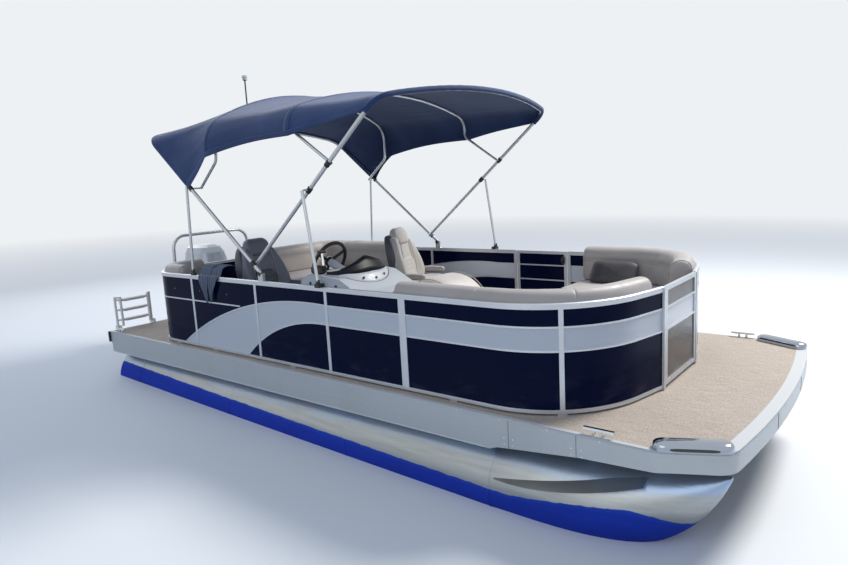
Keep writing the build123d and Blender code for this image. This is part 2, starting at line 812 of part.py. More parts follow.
# Bucket chairs on pedestals
def chair(name, x, y):
    """One swivel chair that faces the bow: pedestal, shell and cushion."""
    seat_z = deck_top + pedestal_h
    with BuildPart() as pedestal:
        with BuildSketch(Plane.XY.offset(deck_top)):
            with Locations((x, y)):
                Circle(150)
        extrude(amount=14)
        with BuildSketch(Plane.XY.offset(deck_top)):
            with Locations((x, y)):
                Circle(pedestal_r)
        extrude(amount=pedestal_h - soft_gap)
    pedestal.part.label = name + "_pedestal"
    export_step(pedestal.part, f"parts/{name}_pedestal.step")
    with BuildSketch(Plane.YZ.offset(x - 400)) as front_view:
        with BuildLine():
            FilletPolyline(
                (y - chair_w / 2, seat_z),
                (y - chair_w / 2, seat_z + 330),
                (y - chair_w * 0.40, seat_z + 470),
                (y - chair_w * 0.25, deck_top + chair_h),
                (y + chair_w * 0.25, deck_top + chair_h),
                (y + chair_w * 0.40, seat_z + 470),
                (y + chair_w / 2, seat_z + 330),
                (y + chair_w / 2, seat_z),
                radius=55,
            )
            Line((y + chair_w / 2, seat_z), (y - chair_w / 2, seat_z))
        make_face()
    with BuildPart() as shell:
        with BuildSketch(Plane.XZ.offset(-y - chair_w / 2)):
            with BuildLine():
                Polyline(
                    (x - 235, seat_z),
                    (x + 240, seat_z),
                    (x + 260, seat_z + 60),
                    (x - 150, seat_z + 60),
                    (x - 275, deck_top + 900),
                    (x - 330, deck_top + 900),
                    (x - 235, seat_z),
                )
            make_face()
        extrude(amount=chair_w)
        extrude(front_view.sketch, amount=800, mode=Mode.INTERSECT)
    shell.part.label = name + "_shell"
    export_step(shell.part, f"parts/{name}_shell.step")
    with BuildPart() as cushion:
        with BuildSketch(Plane.XZ.offset(-y - chair_w / 2 + 10)):
            with BuildLine():
                Polyline(
                    (x - 150 + soft_gap, seat_z + 60 + soft_gap),
                    (x + 270, seat_z + 60 + soft_gap),
                    (x + 280, seat_z + 150),
                    (x - 60, seat_z + 150),
                    (x - 165, deck_top + 950),
                    (x - 215, deck_top + chair_h),
                    (x - 275 + soft_gap + 4, deck_top + 900),
                    (x - 150 + soft_gap, seat_z + 60 + soft_gap),
                )
            make_face()
        extrude(amount=chair_w - 20)
        extrude(front_view.sketch, amount=800, mode=Mode.INTERSECT)
        for side in (-1, 1):
            with Locations((x + 20, y + side * (chair_w / 2 + 25), seat_z + 200)):
                Box(300, 46, 60)
            with Locations((x - 130, y + side * (chair_w / 2 + 10), seat_z + 190)):
                Box(60, 60, 40)
    cushion.part.label = name + "_cushion"
    export_step(cushion.part, f"parts/{name}_cushion.step")


chair("helm_chair", chair_x, chair_y)
chair("companion_chair", mate_x, mate_y)


# Bimini top: four bent tube bows, the pins that join them, and struts down to the rail
main_r = main_tube / 2
small_r = small_tube / 2
layer_gap = 6.0
front_half = bimini_y - main_tube - layer_gap
third_half = front_half - main_r - small_r - layer_gap
second_half = third_half - small_tube - layer_gap
strut_y = bimini_y + main_r + small_r + layer_gap + 1
pin_r = 7.0


def up_leg(foot, crown, reach):
    """Point at a distance up the straight leg that runs from a foot towards its crown."""
    share = reach / hypot(crown[0] - foot[0], crown[1] - foot[1])
    return (foot[0] + share * (crown[0] - foot[0]), foot[1] + share * (crown[1] - foot[1]))


aft_foot = (pivot_x, pivot_z)
aft_crown = (aft_crown_x, main_crown_z)
front_foot = up_leg(aft_foot, aft_crown, front_foot_along)
front_crown = (front_crown_x, main_crown_z)
second_foot = up_leg(aft_foot, aft_crown, second_foot_along)
third_foot = up_leg(front_foot, front_crown, third_foot_along)
strut_head = up_leg(front_foot, front_crown, strut_head_along)
second_knee = (second_x, second_knee_z)
third_knee = (third_x, third_knee_z)

bows = {
    # foot, knee, crown, half width, tube radius, shoulder radius, radius of the arch
    "aft": (aft_foot, aft_foot, aft_crown, bimini_y, main_r, 180.0, 3000.0),
    "second": (
        second_foot, second_knee, (second_x, second_crown_z), second_half, small_r, 200.0, 2300.0
    ),
    "third": (
        third_foot, third_knee, (third_x, third_crown_z), third_half, small_r, 150.0, 3700.0
    ),
    "front": (front_foot, front_foot, front_crown, front_half, main_r, 150.0, 4200.0),
}


def arch_points(crown, half, shoulder_r, arch_r):
    """Half an arch, seen along the boat, its crown at the given height: y and height of the
    shoulder's foot, middle and top."""
    hub = crown - arch_r
    side_y = half - shoulder_r
    rise = ((arch_r - shoulder_r) ** 2 - side_y**2) ** 0.5
    turn = atan2(rise, side_y)
    return (
        (half, hub + rise),
        (side_y + shoulder_r * cos(turn / 2), hub + rise + shoulder_r * sin(turn / 2)),
        (arch_r * cos(turn), hub + arch_r * sin(turn)),
    )


def bow_tube(name):
    """One bow from the table: legs up to the knee, then up to shoulders and an arched top."""
    foot, knee, crown, half, radius, shoulder_r, arch_r = bows[name]
    up = Vector(crown[0] - knee[0], 0, crown[1] - knee[1])
    top = up.length
    low, middle, high = arch_points(top, half, shoulder_r, arch_r)
    up = up.normalized()

    def at(side, point):
        return Vector(knee[0], side * point[0], knee[1]) + up * point[1]

    def leg(side):
        if foot == knee:
            return Line(at(side, (half, 0)), at(side, low))
        start = (foot[0], side * half, foot[1])
        return FilletPolyline(start, at(side, (half, 0)), at(side, low), radius=knee_r)

    with BuildPart() as tube:
        with BuildLine() as line:
            leg(-1)
            ThreePointArc(at(-1, low), at(-1, middle), at(-1, high))
            ThreePointArc(at(-1, high), at(1, (0, top)), at(1, high))
            ThreePointArc(at(1, high), at(1, middle), at(1, low))
            leg(1)
        path = line.wire()
        with BuildSketch(Plane(origin=path @ 0, z_dir=path % 0)):
            Circle(radius)
        sweep(path=path)
    return tube.part


def pins(point, outer, inner, radius):
    """A pair of pins across the boat, each from outer to inner."""
    with BuildPart() as pair:
        for side in (-1, 1):
            with BuildSketch(Plane.XZ.offset(-side * (outer + inner) / 2 - (outer - inner) / 2)):
                with Locations(point):
                    Circle(radius)
            extrude(amount=outer - inner)
    return pair.part


with BuildPart() as bimini_aft_bow:
    add(bow_tube("aft"))
    add(pins(front_foot, bimini_y, front_half + main_r + hinge_gap, pin_r))
    add(pins(second_foot, bimini_y, second_half + small_r + hinge_gap, pin_r))
    for side in (-1, 1):
        with Locations((pivot_x, side * bimini_y, (fence_top + pivot_z) / 2)):
            Box(60, 26, pivot_z - fence_top)
bimini_aft_bow.part.label = "bimini_aft_bow"
export_step(bimini_aft_bow.part, "parts/bimini_aft_bow.step")

with BuildPart() as bimini_front_bow:
    add(bow_tube("front"))
    add(pins(third_foot, front_half, third_half + small_r + hinge_gap, pin_r))
    add(pins(strut_head, strut_y - small_r - hinge_gap, front_half, pin_r))
bimini_front_bow.part.label = "bimini_front_bow"
export_step(bimini_front_bow.part, "parts/bimini_front_bow.step")

for name in ("second", "third"):
    inner_bow = bow_tube(name)
    inner_bow.label = f"bimini_{name}_bow"
    export_step(inner_bow, f"parts/bimini_{name}_bow.step")


def struts(name, foot, head, half):
    """A pair of straight struts between a rail foot and a bow."""
    with BuildPart() as pair:
        for side in (-1, 1):
            with BuildLine():
                run = Line((foot[0], side * half, foot[1]), (head[0], side * half, head[1]))
            with BuildSketch(Plane(origin=run @ 0, z_dir=run % 0)):
                Circle(small_r)
            extrude(amount=run.length)
    pair.part.label = name
    export_step(pair.part, f"parts/{name}.step")


# The aft struts end just under the aft bow's legs
aft_slope = (main_crown_z - pivot_z) / (aft_crown_x - pivot_x)
aft_head_x = aft_strut_x + 45
under_leg = main_r * hypot(1, aft_slope) - small_r * aft_slope + soft_gap - 0.3
struts(
    "bimini_aft_struts",
    (aft_strut_x, fence_top + strut_foot_rise),
    (aft_head_x, pivot_z + (aft_head_x - pivot_x) * aft_slope - under_leg),
    bimini_y,
)
struts(
    "bimini_front_struts",
    (front_strut_x, fence_top + strut_foot_rise),
    strut_head,
    strut_y,
)

# Rail mounts under the strut feet
mount_h = strut_foot_rise - small_r - 2
with BuildPart() as bimini_mounts:
    for side in (-1, 1):
        with Locations((aft_strut_x, side * bimini_y, fence_top + mount_h / 2)):
            Box(50, 26, mount_h)
        with Locations((front_strut_x, side * (bimini_y + strut_y + 12) / 2, fence_top + mount_h / 2)):
            Box(50, strut_y - bimini_y + 20, mount_h)
bimini_mounts.part.label = "bimini_mounts"
export_step(bimini_mounts.part, "parts/bimini_mounts.step")

# Canopy: a shell through four sections, one over each bow, its tips drawn down the aft legs
canopy_t = 6.0
canopy_gap = 0.5
cover_half = bimini_y + main_r + canopy_gap
aft_edge_along = second_foot_along
front_edge_along = 1735.0
cover_rows = [
    # bow, half width, shoulder radius, height of the lower edge above the knee, gap at the crown
    ("aft", cover_half, 180.0 + main_r + canopy_gap, aft_edge_along, 9.5),
    ("second", cover_half - 13, 300.0, deck_top + 1730 - second_knee_z, canopy_gap),
    ("third", cover_half - 26, 200.0, deck_top + 1820 - third_knee_z, canopy_gap),
    ("front", cover_half - 38, 150.0 + main_r + canopy_gap, front_edge_along, 12.0),
]


def cover(thick):
    """Solid under one skin of the canopy, from the aft bow to the front bow."""
    sections = []
    for name, half, shoulder_r, edge, crown_gap in cover_rows:
        foot, knee, crown, _, radius, _, arch_r = bows[name]
        up = Vector(crown[0] - knee[0], 0, crown[1] - knee[1])
        over = radius + crown_gap + thick
        low, middle, high = arch_points(
            up.length + over, half + thick, shoulder_r + thick, arch_r + over
        )
        normal = up.cross(Vector(0, 1, 0))
        with BuildSketch(Plane(origin=(knee[0], 0, knee[1]), x_dir=(0, 1, 0), z_dir=-normal)) as section:
            with BuildLine():
                Line((-low[0], edge), (-low[0], low[1]))
                ThreePointArc((-low[0], low[1]), (-middle[0], middle[1]), (-high[0], high[1]))
                ThreePointArc((-high[0], high[1]), (0, up.length + over), high)
                ThreePointArc(high, middle, low)
                Polyline(low, (low[0], edge), (-low[0], edge))
            make_face()
        sections.append(section.sketch)
    with BuildPart() as block:
        loft(sections, ruled=True)
    return block.part


with BuildPart() as bimini_canopy:
    add(cover(canopy_t))
    add(cover(0), mode=Mode.SUBTRACT)
bimini_canopy.part.label = "bimini_canopy"
export_step(bimini_canopy.part, "parts/bimini_canopy.step")

# All-round light on a thin pole, clamped to the aft side of the aft bow's crown
light_y = 120.0
clamp_len = 59.0
clamp_h = 26.0
light_pole_r = 8.0
light_pole_h = 520.0
lamp_r = 24.0
lamp_h = 34.0
cap_r = 34.0
clamp_x = aft_crown_x - main_r + 1 - clamp_len
light_pole_x = clamp_x + 16
with BuildPart() as light_pole:
    with Locations((clamp_x + clamp_len / 2, light_y, main_crown_z - 5)):
        Box(clamp_len, 44, clamp_h)
    for radius, low, high, lean in (
        (light_pole_r, 0, light_pole_h, 0),
        (lamp_r, light_pole_h, light_pole_h + lamp_h, 0),
        (cap_r, light_pole_h + lamp_h, light_pole_h + lamp_h + 14, 20),
    ):
        with BuildSketch(Plane.XY.offset(main_crown_z + low)):
            with Locations((light_pole_x, light_y)):
                Circle(radius)
        extrude(amount=high - low, taper=lean)
light_pole.part.label = "light_pole"
export_step(light_pole.part, "parts/light_pole.step")

# Tow bar over the outboard
tow_x = -3050.0
tow_half = 500.0
tow_top = deck_top + 950.0
tow_spread = 30.0
tow_bend_r = 150.0
tow_tube_r = 19.0
brace_r = 16.0
brace_rise = 520.0
brace_reach = 330.0
tow_plate_h = 10.0
tow_plate_w = 60.0
tow_foot = tow_half + tow_spread
with BuildPart() as tow_bar:
    with BuildLine() as tow_line:
        FilletPolyline(
            (tow_x, -tow_foot, deck_top + tow_plate_h / 2),
            (tow_x, -tow_half, tow_top),
            (tow_x, tow_half, tow_top),
            (tow_x, tow_foot, deck_top + tow_plate_h / 2),
            radius=tow_bend_r,
        )
    with BuildSketch(Plane(origin=tow_line.wire() @ 0, z_dir=tow_line.wire() % 0)):
        Circle(tow_tube_r)
    sweep()
    for side in (-1, 1):
        with BuildLine():
            brace = Line(
                (tow_x, side * (tow_half + tow_spread / 2), deck_top + brace_rise),
                (tow_x + brace_reach, side * tow_foot, deck_top),
            )
        with BuildSketch(Plane(origin=brace @ 0, z_dir=brace % 0)):
            Circle(brace_r)
        extrude(amount=brace.length - brace_r * 1.5)
        with Locations((tow_x + brace_reach - 20, side * tow_foot, deck_top + tow_plate_h / 2)):
            Box(90, tow_plate_w, tow_plate_h)
        with Locations((tow_x, side * tow_foot, deck_top + tow_plate_h / 2)):
            Box(70, tow_plate_w, tow_plate_h)
tow_bar.part.label = "tow_bar"
export_step(tow_bar.part, "parts/tow_bar.step")

# Boarding ladder, folded up on the stern edge in two sections
ladder_y = -995.0
ladder_half = 195.0
ladder_len = 320.0
ladder_tube = 13.0
rung_r = 10.0
ladder_x = stern_x - 30
ladder_z = deck_top + 24
ladder_fold = 44.0
fold_x = ladder_x + ladder_fold / 2
fold_z = ladder_z + ladder_len
lower_half = ladder_half - 40
ladder_pin_r = 5.0
rung_shares = (0.21, 0.55, 0.89)


def ladder_section(name, x, half, low, high, lug_x, lug_y, pin_y):
    """Two rails with rungs across them, and the lug at the fold."""
    with BuildPart() as section:
        for side in (-1, 1):
            with BuildSketch(Plane.XY.offset(low)):
                with Locations((x, ladder_y + side * half)):
                    Circle(ladder_tube)
            extrude(amount=high - low)
            if pin_y:
                with BuildSketch(Plane.XZ.offset(-ladder_y - side * half - 20)):
                    with Locations((x, low + 10)):
                        Circle(ladder_pin_r + 0.05)
                extrude(amount=40, mode=Mode.SUBTRACT)
            with Locations(((x + lug_x) / 2, ladder_y + side * lug_y, fold_z)):
                Box(abs(x - lug_x) + 16, 8, 20)
            if pin_y:
                pin_len = lug_y - pin_y
                pin_mid = ladder_y + side * (lug_y + pin_y) / 2
                with BuildSketch(Plane.XZ.offset(-pin_mid - pin_len / 2)):
                    with Locations((lug_x, fold_z)):
                        Circle(6)
                extrude(amount=pin_len)
        for height in rung_shares:
            with BuildSketch(Plane.XZ.offset(-ladder_y - half)):
                with Locations((x, low + (high - low) * height)):
                    Circle(rung_r)
            extrude(amount=2 * half)
    section.part.label = name
    export_step(section.part, f"parts/{name}.step")


upper_lug_y = ladder_half - ladder_tube + 2
lower_lug_y = lower_half + ladder_tube - 2
ladder_section(
    "ladder_upper",
    ladder_x,
    ladder_half,
    ladder_z,
    fold_z + 8,
    fold_x,
    upper_lug_y,
    lower_lug_y + 4 + hinge_gap,
)
ladder_section(
    "ladder_lower",
    ladder_x + ladder_fold,
    lower_half,
    ladder_z + 6,
    fold_z + 8,
    fold_x,
    lower_lug_y,
    0,
)
with BuildPart() as ladder_brackets:
    for side in (-1, 1):
        for out in (-1, 1):
            y = ladder_y + side * ladder_half + out * (ladder_tube + hinge_gap + 3)
            with Locations(((stern_x + 20 + ladder_x - 14) / 2, y, deck_top + 19)):
                Box(stern_x + 20 - ladder_x + 14, 6, 38)
        with BuildSketch(Plane.XZ.offset(-ladder_y - side * ladder_half - 19)):
            with Locations((ladder_x, ladder_z + 10)):
                Circle(ladder_pin_r)
        extrude(amount=38)
ladder_brackets.part.label = "ladder_brackets"
export_step(ladder_brackets.part, "parts/ladder_brackets.step")

# Motor pod and transom between the pontoons
with BuildPart() as motor_pod:
    with BuildSketch(Plane.XZ.offset(-300)):
        with BuildLine():
            Polyline(
                (-2000, member_low),
                (transom_x, member_low),
                (transom_x, 20),
                (transom_x + 120, -60),
                (-2200, member_low - 160),
                (-2000, member_low),
            )
        make_face()
    extrude(amount=600)
    with Locations(((transom_x + notch_x) / 2, 0, (transom_top + 200) / 2)):
        Box(notch_x - transom_x, 660, transom_top - 200)
motor_pod.part.label = "motor_pod"
export_step(motor_pod.part, "parts/motor_pod.step")

# Outboard: clamp bracket, swivel bracket, leg, cowl, engine block and propeller
with BuildPart() as outboard_clamp:
    for side in (-1, 1):
        with BuildSketch(Plane.XZ.offset(-side * 95 - 12)):
            with BuildLine():
                Polyline(
                    (transom_x, transom_top - 330),
                    (transom_x, transom_top + 6),
                    (transom_x + 20, transom_top + 6),
                    (transom_x + 20, tilt_z + 30),
                    (tilt_x - 30, tilt_z + 30),
                    (tilt_x - 30, transom_top - 60),
                    (transom_x - 60, transom_top - 330),
                    (transom_x, transom_top - 330),
                )
            make_face()
        extrude(amount=24)
    with BuildSketch(Plane.XZ.offset(-107)):
        with Locations((tilt_x, tilt_z)):
            Circle(tilt_pin_r)
    extrude(amount=214)
outboard_clamp.part.label = "outboard_clamp"
export_step(outboard_clamp.part, "parts/outboard_clamp.step")

swivel_low = tilt_z - 330
swivel_high = tilt_z + 40
with BuildPart() as outboard_swivel:
    with BuildSketch(Plane.XY.offset(swivel_low)):
        with Locations((steer_x, 0)):
            Circle(swivel_r)
    extrude(amount=swivel_high - swivel_low)
    with Locations(((tilt_x + steer_x) / 2, 0, tilt_z - 20)):
        Box(tilt_x - steer_x, 110, 90)
    with BuildSketch(Plane.XZ.offset(-80)):
        with Locations((tilt_x, tilt_z)):
            Circle(32)
    extrude(amount=160)
    with BuildSketch(Plane.XZ.offset(-130)):
        with Locations((tilt_x, tilt_z)):
            Circle(tilt_pin_r + 0.06)
    extrude(amount=260, mode=Mode.SUBTRACT)
outboard_swivel.part.label = "outboard_swivel"
export_step(outboard_swivel.part, "parts/outboard_swivel.step")

leg_front = steer_x - swivel_r - 1.0
leg_x = leg_front + 10
case_r = 52.0
with BuildPart() as outboard_leg:
    with BuildSketch(Plane.XY.offset(plate_z)):
        with Locations((leg_front - 115, 0)):
            RectangleRounded(210, 80, 38)
    with BuildSketch(Plane.XY.offset(swivel_low)):
        with Locations((leg_front - 115, 0)):
            RectangleRounded(230, 130, 50)
    with BuildSketch(Plane.XY.offset(cowl_low)):
        with Locations((leg_front - 145, 0)):
            RectangleRounded(290, 190, 60)
    loft(ruled=True)
    for low, high in ((swivel_high + 0.5, cowl_low), (swivel_low - 60, swivel_low - 0.5)):
        with Locations(((leg_front - 40 + steer_x + swivel_r) / 2, 0, (low + high) / 2)):
            Box(steer_x + swivel_r - leg_front + 40, 64, high - low)
    with BuildSketch(Plane.XY.offset(plate_z - 5)):
        with Locations((leg_front - 160, 0)):
            RectangleRounded(400, 210, 60)
    extrude(amount=10)
    with BuildSketch(Plane.XZ.offset(-12)):
        with BuildLine():
            Polyline(
                (leg_x - 20, plate_z),
                (leg_x - 50, prop_z),
                (leg_x - 80, prop_z - 60),
                (leg_x - 120, skeg_z),
                (leg_x - 190, skeg_z),
                (leg_x - 205, prop_z - 60),
                (leg_x - 205, plate_z),
                (leg_x - 20, plate_z),
            )
        make_face()
    extrude(amount=24)
    with BuildSketch(Plane.YZ.offset(leg_x - 220)):
        with Locations((0, prop_z)):
            Circle(case_r)
    extrude(amount=200)
    with BuildSketch(Plane.YZ.offset(leg_x - 20)):
        with Locations((0, prop_z)):
            Circle(case_r)
    with BuildSketch(Plane.YZ.offset(leg_x + 70)):
        with Locations((0, prop_z)):
            Circle(14)
    loft()
outboard_leg.part.label = "outboard_leg"
export_step(outboard_leg.part, "parts/outboard_leg.step")

cowl_x = leg_front - 110
with BuildPart() as outboard_cowl:
    for z, shorter, narrower, shift in (
        # height of the section, how much less than the full length and width, move forward
        (cowl_low + 0.3, 100.0, 100.0, 0.0),
        (cowl_low + 50, 30.0, 24.0, 0.0),
        (cowl_low + 140, 0.0, 0.0, 0.0),
        (cowl_top - 190, 6.0, 4.0, -4.0),
        (cowl_top - 90, 50.0, 36.0, -14.0),
        (cowl_top - 28, 130.0, 90.0, -24.0),
        (cowl_top, 240.0, 180.0, -34.0),
    ):
        with BuildSketch(Plane.XY.offset(z)):
            with Locations((cowl_x + shift, 0)):
                RectangleRounded(cowl_len - shorter, cowl_w - narrower, (cowl_w - narrower) * 0.36)
    loft(ruled=True)
    with Locations((cowl_x, 0, cowl_low + 210)):
        Box(300, 220, 380, mode=Mode.SUBTRACT)
outboard_cowl.part.label = "outboard_cowl"
export_step(outboard_cowl.part, "parts/outboard_cowl.step")

with BuildPart() as engine_block:
    with Locations((cowl_x, 0, cowl_low + 210)):
        Box(299.4, 219.4, 379.4)
engine_block.part.label = "engine_block"
export_step(engine_block.part, "parts/engine_block.step")

hub_x = leg_x - 220.5
with BuildPart() as propeller:
    with BuildSketch(Plane.YZ.offset(hub_x - 110)):
        with Locations((0, prop_z)):
            Circle(44)
    extrude(amount=110)
    for angle in (90, 210, 330):
        outward = (0, cos(radians(angle)), sin(radians(angle)))
        for pitch, reach, chord, thick in ((38, 30, 60, 5), (55, prop_r, 50, 3)):
            chord_dir = (
                cos(radians(pitch)),
                -sin(radians(pitch)) * sin(radians(angle)),
                sin(radians(pitch)) * cos(radians(angle)),
            )
            station = Plane(origin=(hub_x - 55, 0, prop_z), x_dir=chord_dir, z_dir=outward)
            with BuildSketch(station.offset(reach)):
                Ellipse(chord, thick)
        loft()
propeller.part.label = "propeller"
export_step(propeller.part, "parts/propeller.step")

# Light housings on the bow corners: a domed oval on a flange, with a lens let into its brow
casting_len = 400.0
casting_w = 118.0
casting_h = 46.0
flange_h = 6.0
flange_w = 9.0
dome_lean = 32.0
lens_len = 150.0
lens_h = 16.0
lens_depth = 14.0
casting_in = 40.0
casting_turn = degrees(atan2(corner_in, corner_x - side_end_x))
with BuildPart() as corner_castings:
    for side in (-1, 1):
        spot = Location(
            (
                (side_end_x + corner_x) / 2 - casting_in / 2,
                side * ((half_beam + corner_y) / 2 - casting_in),
            ),
            -side * casting_turn,
        )
        with BuildSketch(Plane.XY.offset(deck_top)):
            with Locations(spot):
                SlotOverall(casting_len, casting_w)
        extrude(amount=flange_h)
        with BuildSketch(Plane.XY.offset(deck_top + flange_h)):
            with Locations(spot):
                SlotOverall(casting_len - 2 * flange_w, casting_w - 2 * flange_w)
        extrude(amount=casting_h - flange_h, taper=dome_lean)
    fillet(corner_castings.faces().group_by(Axis.Z)[-1].edges(), casting_h / 6)
    for side in (-1, 1):
        brow = Location(
            (
                (side_end_x + corner_x) / 2 - casting_in / 2,
                side * ((half_beam + corner_y) / 2 - casting_in),
                deck_top + casting_h / 2,
            ),
            (0, 0, -side * casting_turn),
        )
        with Locations(brow):
            with Locations((0, side * (casting_w / 2 - flange_w), 0)):
                Box(lens_len, 2 * lens_depth, lens_h, mode=Mode.SUBTRACT)
corner_castings.part.label = "corner_castings"
export_step(corner_castings.part, "parts/corner_castings.step")

# Bumpers at the stern corners, and cleats

with BuildPart() as stern_bumpers:
    for side in (-1, 1):
        with Locations((stern_x - 12, side * (half_beam - 30), deck_top - 60)):
            Box(24, 90, 110)
stern_bumpers.part.label = "stern_bumpers"
export_step(stern_bumpers.part, "parts/stern_bumpers.step")

with BuildPart() as deck_cleats:
    for x, side in ((2420, -1), (2590, 1), (-2980, -1), (-2980, 1)):
        y = side * (half_beam - 34)
        for shift in (-28, 28):
            with Locations((x + shift, y, deck_top + 16)):
                Cylinder(9, 32)
        with Locations((x, y, deck_top + 34)):
            Box(180, 20, 14)
deck_cleats.part.label = "deck_cleats"
export_step(deck_cleats.part, "parts/deck_cleats.step")
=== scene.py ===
from math import asin, atan2, cos, degrees, hypot, pi, radians, sin, sqrt, tan

import bmesh
import bpy
import numpy as np
from mathutils import Matrix, Vector, noise


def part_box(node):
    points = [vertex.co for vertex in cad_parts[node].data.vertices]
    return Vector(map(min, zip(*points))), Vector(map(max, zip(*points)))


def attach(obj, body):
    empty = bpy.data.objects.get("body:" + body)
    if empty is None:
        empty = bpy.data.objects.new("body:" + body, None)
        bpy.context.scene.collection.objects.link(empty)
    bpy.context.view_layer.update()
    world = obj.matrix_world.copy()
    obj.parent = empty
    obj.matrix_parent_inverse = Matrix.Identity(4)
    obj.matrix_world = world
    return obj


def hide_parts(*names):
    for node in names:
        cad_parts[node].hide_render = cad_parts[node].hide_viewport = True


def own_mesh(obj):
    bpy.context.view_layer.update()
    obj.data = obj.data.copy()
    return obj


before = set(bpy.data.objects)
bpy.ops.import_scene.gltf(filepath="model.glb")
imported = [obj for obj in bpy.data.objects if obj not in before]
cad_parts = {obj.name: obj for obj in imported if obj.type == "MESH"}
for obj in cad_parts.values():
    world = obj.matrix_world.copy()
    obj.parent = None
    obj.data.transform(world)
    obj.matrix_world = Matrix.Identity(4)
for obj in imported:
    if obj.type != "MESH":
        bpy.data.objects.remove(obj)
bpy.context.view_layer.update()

bl_info = {
    "name": "Pontoon Boat",
    "version": (1, 0, 0),
    "blender": (4, 5, 0),
    "location": "View3D > Sidebar > Boat",
    "description": "Dresses the frame of a twenty-foot pontoon boat with finishes, upholstery and fittings",
    "category": "Add Mesh",
}

# Metres throughout. +X is the bow, +Y is port, +Z is up.
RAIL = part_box("fence_frame_starboard")
FENCE_HALF = -RAIL[0].y
FENCE_AFT = RAIL[0].x
FENCE_FRONT = RAIL[1].x
RAIL_TOP = RAIL[1].z
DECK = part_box("woven_floor")[1].z
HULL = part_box("deck_edge")
HULL_HALF = HULL[1].y

# Starboard and port, as the sign of Y
SIDES = (-1, 1)

# Ways along, across and through a pad that lies flat, and one that stands
FLAT = ((1, 0, 0), (0, 1, 0), (0, 0, 1))
UPRIGHT = ((0, 0, 1), (0, 1, 0), (1, 0, 0))

# The fence's plan, as on the frame: corner radius aft, then two arcs round the bow
CORNER_R = 0.330
BOW_ARC_X = 1.720
BOW_R1 = 0.680
BOW_TURN1 = 50.0
BOW_R2 = 0.800
BOW_TURN2 = 28.0

# Heights of the fence's light band
BAND_LOW = 0.9970
BAND_HIGH = 1.1430

# The bow fascia's arc in plan, through its middle and its corners, and the light housings beside it
SIDE_END_X = 2.742
CORNER_X = 3.080
CORNER_IN = 0.165
BOW_SAG = HULL[1].x - CORNER_X
BOW_HALF = HULL_HALF - CORNER_IN
BOW_RADIUS = (BOW_HALF**2 + BOW_SAG**2) / (2 * BOW_SAG)
BOW_HUB_X = HULL[1].x - BOW_RADIUS
BOW_SWEEP = degrees(asin(BOW_HALF / BOW_RADIUS))
HOUSING_X = 2.891
HOUSING_Y = 1.1725
HOUSING_TURN = atan2(CORNER_IN, CORNER_X - SIDE_END_X)

# The foot of the folding top's aft bow (x, z), and the radii of the top's tubes
AFT_FOOT = (-0.520, RAIL_TOP + 0.067)
MAIN_R = 0.016
SMALL_R = 0.0125

# Screen colour of the room behind the boat
ROOM = "eef1f4"


def tone(code):
    """Linear colour of a six-digit screen colour."""
    parts = [int(code[i:i + 2], 16) / 255 for i in (0, 2, 4)]
    return tuple(p / 12.92 if p <= 0.04045 else ((p + 0.055) / 1.055) ** 2.4 for p in parts)


def colour_choice(name, description, code):
    """A colour that the user may change."""
    return bpy.props.FloatVectorProperty(
        name=name, description=description, subtype="COLOR", size=3, min=0, max=1, default=tone(code)
    )


def length_choice(name, description, metres):
    """A length that the user may change."""
    return bpy.props.FloatProperty(
        name=name, description=description, default=metres, min=0, unit="LENGTH", precision=4
    )


class BoatColours(bpy.types.PropertyGroup):
    """Colours of the boat's finishes."""

    canvas: colour_choice("Canvas", "Cloth of the folding top", "1a3566")
    panel: colour_choice("Panel", "Dark glossy panels of the fence", "041030")
    band: colour_choice("Band", "Light band and its sweep on the fence", "c8cfd8")
    gate: colour_choice("Gate", "Infill of the bow gate", "4a484b")
    metal: colour_choice("Metal", "Satin aluminium of rails and frames", "c6cbd2")
    # its blue tint is a painted reflection of the sky on the polished aluminium
    hull: colour_choice("Hull", "Polished aluminium of the pontoons", "a3b8d4")
    skirt: colour_choice("Skirt", "Side skirts and bow fascia", "bac0c4")
    trim: colour_choice("Trim", "Bright edge round the deck", "c0c3c5")
    bottom: colour_choice("Bottom", "Bottom paint of the pontoons", "063bc0")
    weave_light: colour_choice("Light thread", "Light thread of the woven floor", "cdc1b5")
    weave_dark: colour_choice("Dark thread", "Dark thread of the woven floor", "968a7f")
    lounge: colour_choice("Lounge", "Vinyl of the lounges", "ada7a3")
    helm: colour_choice("Helm", "Vinyl of the helm chair", "6d7280")
    mate: colour_choice("Companion", "Vinyl of the companion chair", "c2bdb7")
    base: colour_choice("Base", "Moulded lounge bases", "a79d93")
    console: colour_choice("Console", "Moulded console", "adb2b8")
    cowl: colour_choice("Cowl", "Upper cowl of the outboard", "d3d5d8")
    boot: colour_choice("Boot", "Grey cloth over the starboard rail", "566276")


class BoatSizes(bpy.types.PropertyGroup):
    """Sizes of the boat's soft goods and small fittings."""

    crown: length_choice("Crown", "How far a seat cushion rises in its middle", 0.014)
    welt: length_choice("Welt", "Radius of the piping on cushions", 0.0035)
    panel_run: length_choice("Panel run", "Distance between seams along a backrest", 0.780)
    sag: length_choice("Sag", "How far the top's cloth dips between bows", 0.022)
    hem: length_choice("Hem", "Width of the top's hem", 0.045)
    tail: length_choice("Tail", "How far the grey cloth hangs outside the rail", 0.225)
    rivet: length_choice("Rivet", "Radius of a rivet head", 0.0045)
    voxel: length_choice("Voxel", "Grain of the mesh of a seat cushion", 0.014)


